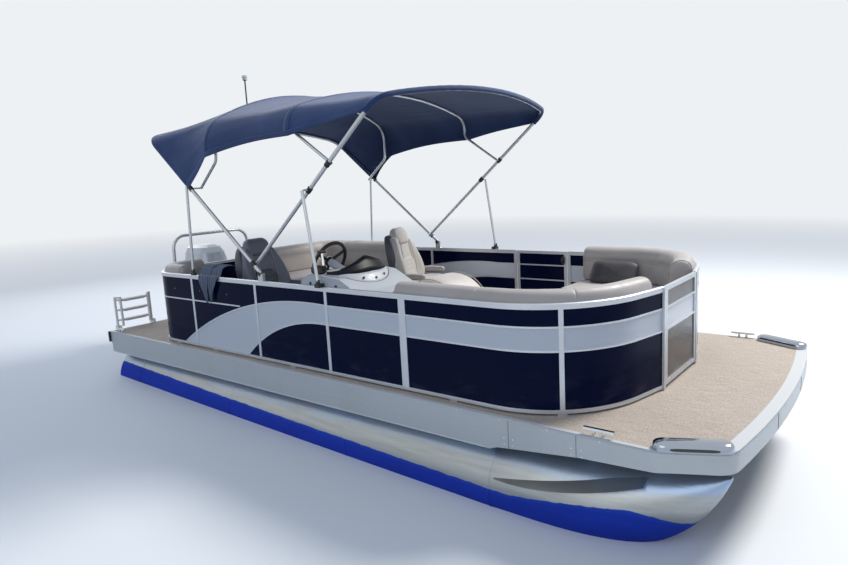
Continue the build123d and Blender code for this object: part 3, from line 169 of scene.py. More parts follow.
class Finish:
    """One procedural material, laid out in the object's own metres."""

    def __init__(self, name, colour, rough=0.5, metal=0.0, **shader):
        self.material = bpy.data.materials.new(name)
        self.material.use_nodes = True
        self.tree = self.material.node_tree
        self.shader = self.tree.nodes["Principled BSDF"]
        self.colour = (*colour, 1.0)
        self.shader.inputs["Base Color"].default_value = self.colour
        self.shader.inputs["Roughness"].default_value = rough
        self.shader.inputs["Metallic"].default_value = metal
        for socket, value in shader.items():
            self.shader.inputs[socket.replace("_", " ")].default_value = value
        self.place = self.put("TexCoord").outputs["Object"]
        self.normal = None

    def put(self, kind, sockets=None, **settings):
        """A node with its settings, and its sockets linked or set."""
        node = self.tree.nodes.new("ShaderNode" + kind)
        for key, value in settings.items():
            setattr(node, key, value)
        for key, value in (sockets or {}).items():
            if isinstance(value, bpy.types.NodeSocket):
                self.tree.links.new(value, node.inputs[key])
            else:
                node.inputs[key].default_value = value
        return node

    def cloud(self, scale, detail=3.0, stretch=(1, 1, 1), warp=0.0):
        """Soft noise from 0 to 1, finer along an axis with a greater stretch."""
        spot = self.put("Mapping", {"Vector": self.place, "Scale": stretch}).outputs["Vector"]
        sockets = {"Vector": spot, "Scale": scale, "Detail": detail, "Distortion": warp}
        return self.put("TexNoise", sockets).outputs["Fac"]

    def bands(self, pitch, axis, warp=0.0):
        """Waves from 0 to 1, a pitch apart along an axis."""
        sockets = {"Vector": self.place, "Scale": pi / (10 * pitch), "Distortion": warp}
        return self.put("TexWave", sockets, bands_direction=axis).outputs["Fac"]

    def cells(self, scale):
        """Distance to the nearest of scattered points."""
        return self.put("TexVoronoi", {"Vector": self.place, "Scale": scale}).outputs["Distance"]

    def along(self, axis):
        """The place along one axis, in metres."""
        return self.put("SeparateXYZ", {"Vector": self.place}).outputs[axis]

    def span(self, value, low, high, start=0.0, end=1.0):
        """A value carried from one range to another, and held at its ends."""
        sockets = {"Value": value, "From Min": low, "From Max": high, "To Min": start, "To Max": end}
        return self.put("MapRange", sockets).outputs["Result"]

    def maths(self, operation, *values):
        """Arithmetic on numbers or sockets."""
        return self.put("Math", dict(enumerate(values)), operation=operation).outputs[0]

    def plus(self, first, second):
        return self.maths("ADD", first, second)

    def times(self, first, second):
        return self.maths("MULTIPLY", first, second)

    def straight(self, value, slope, start):
        """A straight line of a value."""
        return self.plus(self.times(value, slope), start)

    def mix(self, share, first, second):
        """Colour between two colours."""
        colours = {0: share, 6: self.full(first), 7: self.full(second)}
        return self.put("Mix", colours, data_type="RGBA").outputs[2]

    @staticmethod
    def full(colour):
        """A colour with its alpha, or the socket that gives it."""
        if isinstance(colour, bpy.types.NodeSocket) or len(colour) == 4:
            return colour
        return (*colour, 1.0)

    def shade(self, share, amount):
        """The finish's colour, varied by a share up and down."""
        dark = tuple(c * (1 - amount) for c in self.colour[:3])
        light = tuple(min(1.0, c * (1 + amount)) for c in self.colour[:3])
        return self.mix(share, dark, light)

    def paint(self, colour):
        """Takes the base colour from a socket."""
        self.tree.links.new(colour, self.shader.inputs["Base Color"])

    def rough(self, value):
        """Takes the roughness from a socket."""
        self.tree.links.new(value, self.shader.inputs["Roughness"])

    def metal(self, value):
        """Takes the metallic share from a socket."""
        self.tree.links.new(value, self.shader.inputs["Metallic"])

    def relief(self, height, depth, strength=1.0):
        """Bump of a depth in metres, over any bump given before."""
        sockets = {"Height": height, "Distance": depth, "Strength": strength}
        if self.normal:
            sockets["Normal"] = self.normal
        self.normal = self.put("Bump", sockets).outputs["Normal"]
        self.tree.links.new(self.normal, self.shader.inputs["Normal"])


def satin_metal(name, colour, rough=0.34, grain=(3, 60, 60), metal=0.85):
    """Brushed or anodised aluminium with a fine grain and faint clouding."""
    made = Finish(name, colour, rough, metal)
    made.paint(made.shade(made.cloud(6.0, 3.0), 0.07))
    streaks = made.cloud(14.0, 4.0, grain)
    made.rough(made.span(streaks, 0.3, 0.7, rough - 0.06, rough + 0.10))
    made.relief(streaks, 0.0004, 0.35)
    return made.material


def hull_metal(colours):
    """Pontoon aluminium with a painted reflection, hazy sky blue above and duller streaked grey below, and
    bottom paint up to a wavy line.
    """
    made = Finish("pontoon_metal", colours.hull, 0.3, 0.9)
    x, z = made.along("X"), made.along("Z")
    swirl = made.cloud(2.2, 4.0, (0.5, 1.0, 2.6), 1.4)
    streaks = made.cloud(9.0, 4.0, (0.35, 1.0, 4.0))
    stain = made.span(made.cloud(5.0, 5.0, (1.0, 1.0, 0.4)), 0.52, 0.78)
    # painted reflection: the hull colour's hazy sky blue above a wavy height, a duller streaked grey below
    # it; real stains are mixed in after
    level = made.plus(z, made.span(swirl, 0.2, 0.8, -0.05, 0.05))
    low_painted_reflection = made.mix(streaks, tone("969a99"), tone("bfc2c1"))
    bare_with_painted_reflection = made.mix(made.span(level, 0.24, 0.33), low_painted_reflection, colours.hull)
    bare_with_painted_reflection = made.mix(made.times(stain, 0.2), bare_with_painted_reflection, tone("979892"))
    # the paint's edge falls slowly towards the bow, then rises and falls once more round the nose
    mid = made.straight(x, -0.034, 0.165)
    nose = made.maths("SMOOTH_MIN", made.straight(x, 0.104, -0.086), made.straight(x, -0.283, 0.921), 0.07)
    wobble = made.span(made.cloud(14.0, 2.0, (1, 1, 0.2)), 0.3, 0.7, -0.003, 0.003)
    above = made.maths("SUBTRACT", z, made.plus(made.maths("MAXIMUM", mid, nose), wobble))
    painted = made.span(above, 0.002, -0.002)
    slime = made.span(above, -0.03, 0.0)
    blue = made.mix(made.cloud(7.0, 4.0, (0.4, 1, 2)), tone("06289a"), colours.bottom)
    blue = made.mix(made.times(slime, 0.25), blue, tone("2f6ad0"))
    made.paint(made.mix(painted, bare_with_painted_reflection, blue))
    made.metal(made.span(painted, 0.0, 1.0, 0.68, 0.0))
    made.rough(made.span(painted, 0.0, 1.0, 0.33, 0.85))
    made.relief(streaks, 0.0015, 0.5)
    made.relief(swirl, 0.005, 0.35)
    return made.material


def skirt_metal(colours):
    """Deck edge: a smooth painted skirt, and a bright rim round the deck."""
    made = Finish("deck_edge_metal", colours.skirt, 0.42, 0.55)
    z = made.along("Z")
    rim = made.span(z, DECK - 0.016, DECK - 0.012)
    grime = made.span(made.cloud(4.0, 5.0, (1, 1, 0.25)), 0.5, 0.8)
    side = made.mix(made.times(grime, 0.14), colours.skirt, tone("8c8878"))
    made.paint(made.mix(rim, side, colours.trim))
    made.metal(made.span(rim, 0.0, 1.0, 0.5, 0.0))
    made.relief(made.cloud(30.0, 4.0, (0.1, 1, 4)), 0.0006, 0.4)
    return made.material


def woven_floor(colours):
    """Woven vinyl: flat threads both ways, streaked along the boat."""
    made = Finish("woven_vinyl", colours.weave_light, 0.72, Specular_IOR_Level=0.3)
    warp_way = made.bands(0.0042, "X", 0.6)
    weft_way = made.bands(0.0055, "Y", 0.6)
    over = made.times(warp_way, weft_way)
    thread = made.cloud(150.0, 3.0, (0.5, 2.4, 1))
    streak = made.cloud(30.0, 4.0, (0.25, 3.0, 1))
    cross = made.cloud(60.0, 3.0, (2.4, 0.4, 1))
    share = made.plus(made.times(thread, 0.50), made.times(streak, 0.25))
    share = made.plus(share, made.times(cross, 0.25))
    share = made.span(share, 0.38, 0.62)
    base = made.mix(share, colours.weave_dark, colours.weave_light)
    base = made.mix(made.times(over, 0.30), base, tone("8b8178"))
    soil = made.span(made.cloud(1.4, 4.0), 0.45, 0.75)
    made.paint(made.mix(made.times(soil, 0.22), base, tone("8f857b")))
    made.relief(over, 0.0012, 0.8)
    return made.material


def gloss_panel(name, colour, ripple=0.25, gloss=0.05):
    """Glossy painted sheet, faintly rippled, with light dust that thickens near its foot."""
    made = Finish(name, colour, 0.22, 0.0, Specular_IOR_Level=gloss)
    dust = made.span(made.cloud(9.0, 5.0, (0.6, 0.6, 1.4)), 0.5, 0.85)
    low = made.span(made.along("Z"), DECK + 0.28, DECK)
    spread = made.times(dust, made.straight(low, 0.08, 0.012))
    made.paint(made.mix(spread, colour, tone("8f9094")))
    made.rough(made.span(dust, 0.0, 1.0, 0.12, 0.26))
    made.relief(made.cloud(5.0, 2.0, (0.3, 0.3, 5.0)), 0.002, ripple)
    made.relief(made.bands(0.011, "Z", 0.5), 0.0005, ripple)
    return made.material


def gate_panel(colours):
    """Infill of the bow gate: dark below and above, with the fence's light band across it."""
    made = Finish("gate_gloss", colours.gate, 0.2, 0.0, Specular_IOR_Level=0.4)
    z = made.along("Z")
    band = made.times(made.span(z, BAND_LOW - 0.001, BAND_LOW), made.span(z, BAND_HIGH + 0.001, BAND_HIGH))
    cast = made.cloud(7.0, 3.0, (1.0, 1.0, 3.0), 0.6)
    dark = made.mix(made.span(cast, 0.4, 0.7), tone("2b2d36"), colours.gate)
    made.paint(made.mix(band, dark, colours.band))
    made.relief(made.bands(0.011, "Z", 0.5), 0.0006, 0.4)
    return made.material


def vinyl(name, colour, grain=420.0):
    """Marine vinyl: pebbled grain, soft sheen and grubby hollows."""
    made = Finish(name, colour, 0.46, 0.0, Sheen_Weight=0.12, Sheen_Roughness=0.5)
    mottled = made.span(made.cloud(4.5, 5.0), 0.35, 0.75)
    dirt = tuple(c * 0.62 for c in colour)
    made.paint(made.mix(made.times(mottled, 0.32), colour, dirt))
    made.rough(made.span(made.cloud(12.0, 4.0), 0.3, 0.7, 0.38, 0.56))
    made.relief(made.cells(grain), 0.0009, 0.35)
    made.relief(made.cloud(7.0, 3.0, (1, 1, 1.6)), 0.006, 0.30)
    return made.material


def canvas(name, colour, fade):
    """Woven acrylic canvas: a plain weave, sun-faded in soft patches."""
    made = Finish(name, colour, 0.82, 0.0, Sheen_Weight=0.25, Sheen_Roughness=0.6, Specular_IOR_Level=0.2)
    thread = 0.0032
    over = made.times(made.bands(thread, "X", 0.4), made.bands(thread, "Y", 0.4))
    faded = made.span(made.cloud(2.4, 4.0, (1.0, 0.5, 0.8)), 0.38, 0.72)
    base = made.mix(made.times(faded, 0.5), colour, fade)
    darker = tuple(c * 0.6 for c in colour)
    made.paint(made.mix(made.times(over, 0.4), base, darker))
    made.relief(over, 0.0006, 0.6)
    made.relief(made.cloud(6.0, 3.0, (0.6, 1.6, 1)), 0.008, 0.35)
    return made.material


def moulded(name, colour, rough=0.42, stipple=0.4, **shader):
    """Moulded plastic with a fine stipple and uneven sheen."""
    made = Finish(name, colour, rough, 0.0, **shader)
    made.paint(made.shade(made.cloud(3.5, 4.0), 0.08))
    made.rough(made.span(made.cloud(10.0, 4.0), 0.3, 0.7, rough - 0.06, rough + 0.08))
    made.relief(made.cloud(600.0, 2.0), 0.0005, stipple)
    return made.material


def bright_metal(name, colour, rough=0.08):
    """Polished metal with faint hairlines and water spots."""
    made = Finish(name, colour, rough, 1.0)
    spots = made.span(made.cells(70.0), 0.0, 0.12, 1.0, 0.0)
    made.rough(made.span(spots, 0.0, 1.0, rough, rough + 0.22))
    made.relief(made.cloud(40.0, 3.0, (0.3, 1, 3)), 0.0003, 0.3)
    return made.material


def tinted_sheet(name, colour):
    """Dark tinted acrylic that the sky shows in faintly."""
    made = Finish(name, colour, 0.2, 0.0, Transmission_Weight=0.08, Specular_IOR_Level=0.10)
    made.paint(made.shade(made.cloud(2.0, 2.0), 0.15))
    made.rough(made.span(made.cloud(9.0, 4.0), 0.4, 0.8, 0.34, 0.44))
    return made.material


def plywood(name, dark, light):
    """Edge and underside of marine plywood."""
    made = Finish(name, dark, 0.75)
    rings = made.bands(0.06, "Y", 6.0)
    made.paint(made.mix(rings, dark, light))
    made.relief(rings, 0.0006, 0.5)
    return made.material


def glow_lens(name, colour):
    """Ribbed lens of a light."""
    made = Finish(name, colour, 0.12, 0.0, Transmission_Weight=0.35, Coat_Weight=0.5)
    made.paint(made.shade(made.cloud(30.0, 2.0), 0.1))
    made.relief(made.bands(0.005, "Z"), 0.0008, 0.6)
    return made.material


RECIPES = {
    "hull": hull_metal,
    "skirt": skirt_metal,
    "rail": lambda colours: satin_metal("rail_metal", colours.metal, 0.36),
    "member": lambda colours: satin_metal("member_metal", tone("9fa2a4"), 0.5),
    "tube": lambda colours: satin_metal("bow_tube_metal", tone("c6c9cd"), 0.34, (60, 60, 60), 0.7),
    "floor": woven_floor,
    "panel": lambda colours: gloss_panel("panel_gloss", colours.panel),
    "band": lambda colours: gloss_panel("band_gloss", colours.band, 0.15, 0.5),
    "gate": gate_panel,
    "lounge": lambda colours: vinyl("lounge_vinyl", colours.lounge),
    "helm": lambda colours: vinyl("helm_vinyl", colours.helm),
    "helm_dark": lambda colours: vinyl("helm_vinyl_dark", tone("424753")),
    "mate": lambda colours: vinyl("mate_vinyl", colours.mate),
    "shell": lambda colours: moulded("chair_shell", tone("454850"), 0.45),
    "canopy": lambda colours: canvas("top_canvas", colours.canvas, tone("44608f")),
    "boot": lambda colours: canvas("boot_canvas", colours.boot, tone("5d6778")),
    "base": lambda colours: moulded("lounge_moulding", colours.base, 0.5),
    "console": lambda colours: moulded("console_moulding", colours.console, 0.46, 0.25, Coat_Weight=0.08),
    "dash": lambda colours: moulded("dash_plastic", tone("15171a"), 0.34),
    "black": lambda colours: moulded("black_plastic", tone("17181a"), 0.4),
    "rubber": lambda colours: moulded("black_rubber", tone("1b1c1d"), 0.7, 0.8),
    "white": lambda colours: moulded("white_plastic", tone("e9e9e6"), 0.3),
    "cowl": lambda colours: moulded("cowl_paint", colours.cowl, 0.2, 0.1, Coat_Weight=0.7),
    "leg": lambda colours: moulded("leg_paint", tone("2a2d31"), 0.3, 0.2),
    "chrome": lambda colours: bright_metal("chrome", tone("e6e8ea"), 0.07),
    "housing": lambda colours: bright_metal("housing_chrome", tone("a4abb6"), 0.10),
    "steel": lambda colours: bright_metal("polished_steel", tone("d3d6d8"), 0.16),
    "screen": lambda colours: tinted_sheet("tinted_sheet", tone("12161b")),
    "plywood": lambda colours: plywood("plywood", tone("7a5c3a"), tone("a88558")),
    # dark joints, and the painted shadow strip along the lounge bases' toe recesses
    "seam": lambda colours: moulded("joint_and_shadow_dark", tone("3a3b3d"), 0.6),
    "stitch": lambda colours: vinyl("welt_vinyl", tone("a49d96")),
    "pillow": lambda colours: vinyl("pillow_cloth", tone("2f2e33"), 600.0),
    "red": lambda colours: glow_lens("red_lens", tone("4a1013")),
    "green": lambda colours: glow_lens("green_lens", tone("0a3020")),
    "clear": lambda colours: glow_lens("clear_lens", tone("dfe6ea")),
    "ladder": lambda colours: satin_metal("ladder_metal", tone("eeebe4"), 0.4, metal=0.1),
    "tread": lambda colours: moulded("ladder_tread", tone("dedad2"), 0.55, 0.8),
    "dial": lambda colours: moulded("dial_face", tone("e8e8e2"), 0.3),
}
MADE = {}


def finish(name):
    """The boat's material of that name, made the first time it is asked for."""
    if name not in MADE:
        MADE[name] = RECIPES[name](bpy.context.scene.boat_colours)
    return MADE[name]


def dress(material, *nodes):
    """Gives nodes of the frame their finish."""
    for node in nodes:
        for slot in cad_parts[node].material_slots:
            slot.material = finish(material)


def angles(count):
    """Angles once round, evenly spaced."""
    return [2 * pi * k / count for k in range(count)]


def upright_to(axis):
    """The turn that carries +Z to an axis."""
    return Vector((0, 0, 1)).rotation_difference(Vector(axis)).to_matrix()


class Shape:
    """Points and faces of one piece, gathered part by part."""

    def __init__(self):
        self.points, self.faces, self.slots = [], [], []
        self.slot = 0

    def face(self, *numbers):
        """One face, with the finish of the moment."""
        self.faces.append(numbers)
        self.slots.append(self.slot)

    def skin(self, rings, closed=True, caps=True):
        """Faces between rings of equally many points."""
        start, count = len(self.points), len(rings[0])
        for ring in rings:
            self.points.extend(tuple(p) for p in ring)
        for r in range(len(rings) - 1):
            a, b = start + r * count, start + (r + 1) * count
            for i in range(count if closed else count - 1):
                j = (i + 1) % count
                self.face(a + i, a + j, b + j, b + i)
        if caps and closed:
            last = start + (len(rings) - 1) * count
            self.face(*reversed(range(start, start + count)))
            self.face(*range(last, last + count))

    def sheet(self, rings):
        """An open sheet through rows of equally many points."""
        self.skin(rings, closed=False, caps=False)

    def tube(self, line, radius, sides=10, caps=True):
        """Round tube along a line, with one radius or one for each point."""
        line = [Vector(p) for p in line]
        radii = radius if isinstance(radius, (list, tuple)) else [radius] * len(line)
        rings, across = [], None
        for i, point in enumerate(line):
            way = (line[min(i + 1, len(line) - 1)] - line[max(i - 1, 0)]).normalized()
            if across is None:
                across = way.orthogonal().normalized()
            across = (across - way * across.dot(way)).normalized()
            other = way.cross(across)
            rings.append([point + radii[i] * (cos(a) * across + sin(a) * other) for a in angles(sides)])
        self.skin(rings, caps=caps)

    def hoop(self, line, radius, sides=6):
        """Round tube along a closed line."""
        self.tube(line + line[:2], radius, sides, caps=False)

    def block(self, centre, size, turn=None, edge=0.002):
        """Box with chamfered edges."""
        turn = turn or Matrix.Identity(3)
        half = [s / 2 for s in size]
        edge = min(edge, *half)
        rings = []
        for z, inset in ((-half[2], edge), (edge - half[2], 0), (half[2] - edge, 0), (half[2], edge)):
            x, y = half[0] - inset, half[1] - inset
            flat = [
                (x - edge, -y), (x, edge - y), (x, y - edge), (x - edge, y),
                (edge - x, y), (-x, y - edge), (-x, edge - y), (edge - x, -y),
            ]
            rings.append([Vector(centre) + turn @ Vector((px, py, z)) for px, py in flat])
        self.skin(rings)

    def lathe(self, profile, origin, axis=(0, 0, 1), sides=20):
        """Turned form from (radius, height) pairs."""
        turn, origin = upright_to(axis), Vector(origin)
        round_axis = [(cos(a), sin(a)) for a in angles(sides)]
        self.skin([[origin + turn @ Vector((r * c, r * s, h)) for c, s in round_axis] for r, h in profile])

    def carry(self, facing, place):
        """Turns everything so far by a number of degrees about its upright axis, then moves it to a place."""
        turn, place = Matrix.Rotation(radians(facing), 3, "Z"), Vector(place)
        self.points = [tuple(turn @ Vector(p) + place) for p in self.points]

    def build(self, name, body, slot, *finishes, angle=38.0, weld=False):
        """The piece itself, on its body."""
        mesh = bpy.data.meshes.new(name)
        mesh.from_pydata(self.points, [], self.faces)
        for each in finishes:
            mesh.materials.append(finish(each))
        mesh.polygons.foreach_set("material_index", self.slots)
        merge, sliver = 0.00002, 0.000001
        work = bmesh.new()
        work.from_mesh(mesh)
        if weld:
            bmesh.ops.remove_doubles(work, verts=work.verts, dist=merge)
        bmesh.ops.dissolve_degenerate(work, dist=sliver, edges=work.edges)
        bmesh.ops.recalc_face_normals(work, faces=work.faces)
        work.to_mesh(mesh)
        work.free()
        mesh.shade_smooth()
        mesh.set_sharp_from_angle(angle=radians(angle))
        return piece_of(name, mesh, body)


def piece_of(name, mesh, body):
    """An object for a mesh, on its body."""
    piece = bpy.data.objects.new(name, mesh)
    bpy.context.scene.collection.objects.link(piece)
    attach(piece, body)
    return piece


def baked(piece):
    """A piece's mesh as its modifiers leave it."""
    return bpy.data.meshes.new_from_object(piece.evaluated_get(bpy.context.evaluated_depsgraph_get()))


def thicken(piece, thickness, offset):
    """Gives a sheet its thickness: to one side of its faces, or to both where offset is 0."""
    sheet = piece.modifiers.new("sheet", "SOLIDIFY")
    sheet.thickness = thickness
    sheet.offset = offset
    bpy.context.view_layer.update()
    mesh = baked(piece)
    piece.modifiers.clear()
    piece.data = mesh


def grown(node, grain):
    """A node's mesh as an even skin with softened edges."""
    rough = bpy.data.objects.new("rough", node.data.copy())
    bpy.context.scene.collection.objects.link(rough)
    skin = rough.modifiers.new("skin", "REMESH")
    skin.mode = "VOXEL"
    skin.voxel_size = grain
    mesh = baked(rough)
    bpy.data.objects.remove(rough)
    work = bmesh.new()
    work.from_mesh(mesh)
    every_way = {"use_axis_x": True, "use_axis_y": True, "use_axis_z": True}
    passes = 5
    for _ in range(passes):
        bmesh.ops.smooth_vert(work, verts=work.verts, factor=0.5, **every_way)
    work.to_mesh(mesh)
    work.free()
    return mesh


def arc(centre, radius, start, end, steps):
    """Points on an arc, angles in degrees."""
    return [
        (centre[0] + radius * cos(radians(a)), centre[1] + radius * sin(radians(a)))
        for a in np.linspace(start, end, steps)
    ]


def distances(line):
    """How far along a flat line each of its points lies."""
    return np.concatenate([[0], np.cumsum(np.hypot(*np.diff(line, axis=0).T))])


class Walk:
    """Distances along a line in plan."""

    def __init__(self, line):
        self.line = np.array(line, float)
        self.steps = distances(self.line)
        self.length = self.steps[-1]

    def point(self, distance):
        """The point at a distance."""
        return np.array([np.interp(distance, self.steps, self.line[:, k]) for k in (0, 1)])

    def at(self, distance):
        """The point there, and the way in from the line."""
        reach = 0.01
        dx, dy = self.point(min(distance + reach, self.length)) - self.point(max(distance - reach, 0))
        size = hypot(dx, dy)
        return tuple(self.point(distance)), (-dy / size, dx / size)

    def inside(self, distance, pairs):
        """Points there from pairs of (way in from the line, height)."""
        (x, y), (ix, iy) = self.at(distance)
        return [(x + ix * u, y + iy * u, z) for u, z in pairs]

    def where(self, axis, value, last=False):
        """Distance at which the line crosses a coordinate."""
        over = self.line[:, axis] - value
        found = np.nonzero(over[:-1] * over[1:] <= 0)[0]
        i = found[-1 if last else 0]
        share = over[i] / (over[i] - over[i + 1]) if over[i] != over[i + 1] else 0
        return self.steps[i] + share * (self.steps[i + 1] - self.steps[i])


def fence_line():
    """Plan of the starboard fence's outer face, from its middle aft to its middle at the bow."""
    turn, full = radians(BOW_TURN1), radians(BOW_TURN1 + BOW_TURN2)
    corner = (FENCE_AFT + CORNER_R, CORNER_R - FENCE_HALF)
    hub1 = (BOW_ARC_X, BOW_R1 - FENCE_HALF)
    hub2 = (hub1[0] + (BOW_R1 - BOW_R2) * sin(turn), hub1[1] - (BOW_R1 - BOW_R2) * cos(turn))
    end_x, end_y = hub2[0] + BOW_R2 * sin(full), hub2[1] - BOW_R2 * cos(full)
    gate_y = end_y + (FENCE_FRONT - end_x) * tan(full)
    return (
        [(FENCE_AFT, 0.0)]
        + arc(corner, CORNER_R, 180, 270, 14)
        + arc(hub1, BOW_R1, 270, 270 + BOW_TURN1, 16)
        + arc(hub2, BOW_R2, 270 + BOW_TURN1, 270 + BOW_TURN1 + BOW_TURN2, 12)[1:]
        + [(FENCE_FRONT, gate_y), (FENCE_FRONT, 0.0)]
    )


FENCE = Walk(fence_line())


def port_of(points, side):
    """Points as they are to starboard, or mirrored to port."""
    return [(p[0], -p[1] * side, p[2]) for p in points]


def smooth(share):
    """Eases from 0 to 1 and holds at both ends."""
    share = np.clip(share, 0, 1)
    return share * share * (3 - 2 * share)


def swell(value, power):
    """A value raised to a power, with its sign kept."""
    return np.sign(value) * abs(value) ** power


def near(value, place, width=0.12):
    """1 at a place, falling away beside it."""
    return float(np.exp(-(((value - place) / width) ** 2)))


def outward(way, here, middle_z):
    """A way as long as 1, turned so that it leaves a middle line of the boat at a height."""
    way = way.normalized()
    return -way if way.dot(here - Vector((here.x, 0, middle_z))) < 0 else way


def curve_point(four, share):
    """A place between the middle two of four points, on the smooth curve through them."""
    p0, p1, p2, p3 = four
    return 0.5 * (
        2 * p1 + (p2 - p0) * share + (2 * p0 - 5 * p1 + 4 * p2 - p3) * share**2
        + (3 * p1 - p0 - 3 * p2 + p3) * share**3
    )


def closed_curve(points, per=4):
    """A smooth closed ring through a few points."""
    points = np.array(points, float)
    return [
        tuple(curve_point(points[np.arange(i - 1, i + 3) % len(points)], share))
        for i in range(len(points))
        for share in np.linspace(0, 1, per, endpoint=False)
    ]


def blend_rows(rows, per=5):
    """Rows of numbers with smooth steps between them."""
    rows = np.array(rows, float)
    last = len(rows) - 1
    found = [
        curve_point(rows[np.clip(np.arange(i - 1, i + 3), 0, last)], share)
        for i in range(last)
        for share in np.linspace(0, 1, per, endpoint=False)
    ]
    return found + [rows[-1]]


def rounded_ring(corners, radius, grow, steps=5):
    """A closed outline with its sharp corners rounded, moved out by grow."""
    corners = np.asarray(corners, float)
    ahead = np.roll(corners, -1, axis=0)
    if (ahead[:, 0] * corners[:, 1] - corners[:, 0] * ahead[:, 1]).sum() > 0:
        corners = corners[::-1]
    ring, count = [], len(corners)
    for i in range(count):
        before, spot, after = corners[i - 1], corners[i], corners[(i + 1) % count]
        d0, d1 = spot - before, after - spot
        l0, l1 = np.linalg.norm(d0), np.linalg.norm(d1)
        if l0 < 1e-6 or l1 < 1e-6:
            continue
        d0, d1 = d0 / l0, d1 / l1
        out = np.array([d0[1] + d1[1], -(d0[0] + d1[0])])
        out /= max(np.linalg.norm(out), 1e-9)
        if d0 @ d1 > 0.9:
            ring.append(spot + out * grow)
            continue
        cut = min(radius, l0 / 2.2, l1 / 2.2)
        for t in np.linspace(0, 1, steps):
            p = (1 - t) ** 2 * (spot - d0 * cut) + 2 * t * (1 - t) * spot + t**2 * (spot + d1 * cut)
            ring.append(p + out * grow)
    return [tuple(p) for p in ring]


def distance_to(points, line, closed=False):
    """How far each point in plan is from a line."""
    line = np.asarray(line, float)
    starts = line if closed else line[:-1]
    ends = np.roll(line, -1, axis=0) if closed else line[1:]
    best = np.full(len(points), np.inf)
    for a, b in zip(starts, ends):
        d = b - a
        t = np.clip(((points - a) @ d) / max(d @ d, 1e-12), 0, 1)
        best = np.minimum(best, np.linalg.norm(points - a - t[:, None] * d, axis=1))
    return best


def end_marks(first, last, end_r):
    """Stations of two rounded ends, each with how far its section is drawn in."""
    marks = {}
    for a in np.linspace(0, pi / 2, 6):
        marks[first + end_r * (1 - cos(a))] = end_r * (1 - sin(a))
        marks[last - end_r * (1 - cos(a))] = end_r * (1 - sin(a))
    return marks


def bolster(shape, start, end, profile, side, seams):
    """Upholstered strip along the fence: a closed profile with rounded ends, drawn in at its seams."""
    end_r, step, pinch, puff = 0.045, 0.03, 0.0035, 0.002
    profile = np.array(profile)
    middle = (profile.max(axis=0) + profile.min(axis=0)) / 2
    half = profile.max(axis=0) - middle
    marks = end_marks(start, end, end_r)
    for d in np.arange(start + end_r + step, end - end_r - step / 2, step):
        marks[d] = 0.0
    for seam in seams:
        for off in (-0.016, -0.009, -0.004, 0.0, 0.004, 0.009, 0.016):
            marks[seam + off] = 0.0
    rings = []
    for d in sorted(marks):
        away = min((abs(d - s) for s in seams), default=9.0)
        inset = marks[d] + pinch * near(away, 0, 0.006) - puff * (1 - near(away, 0, 0.1))
        ring = middle + (profile - middle) * (1 - inset / half)
        rings.append(port_of(FENCE.inside(d, ring), side))
    shape.skin(rings)


def pad(shape, rows, axes, end_r, origin=(0, 0, 0), sides=44, soft=0.5, pleats=0):
    """Stuffed pad through rows of (way along, low face, high face, half width, wing)."""
    along, across, thick = (Vector(a) for a in axes)
    origin, pleat = Vector(origin), 0.006
    # the wings start at a share of the half width, and the low face takes a share of them
    inner, under = 0.45, 0.35
    table = np.array(blend_rows(rows))
    first, last = table[0][0], table[-1][0]
    marks = end_marks(first, last, end_r)
    count = max(6, int((last - first) / (0.012 if pleats else 0.02)))
    for w in np.linspace(first + end_r, last - end_r, count)[1:-1]:
        marks[w] = 0.0
    rings = []
    for w in sorted(marks):
        low, high, half, wing = (np.interp(w, table[:, 0], table[:, k]) for k in (1, 2, 3, 4))
        middle, depth = (low + high) / 2, (high - low) / 2
        half, depth = max(half - marks[w], 0.002), max(depth - marks[w], 0.001)
        ripple = pleat * (abs(sin(pi * pleats * (w - first) / (last - first))) ** 0.6 - 1) if pleats else 0.0
        ring = []
        for a in angles(sides):
            v = half * swell(cos(a), soft)
            u = middle + depth * swell(sin(a), soft)
            edge = smooth((abs(v) / half - inner) / inner)
            upper = sin(a) > 0
            u += wing * edge * (1.0 if upper else under)
            if upper:
                u += ripple * (1 - edge)
            ring.append(origin + along * w + across * v + thick * u)
        rings.append(ring)
    shape.skin(rings)


def screw_head(r):
    """Low dome of a screw, as (radius, height) pairs."""
    return (r, 0), (r, 0.0008), (r * 0.7, 0.002), (r * 0.2, 0.0026)


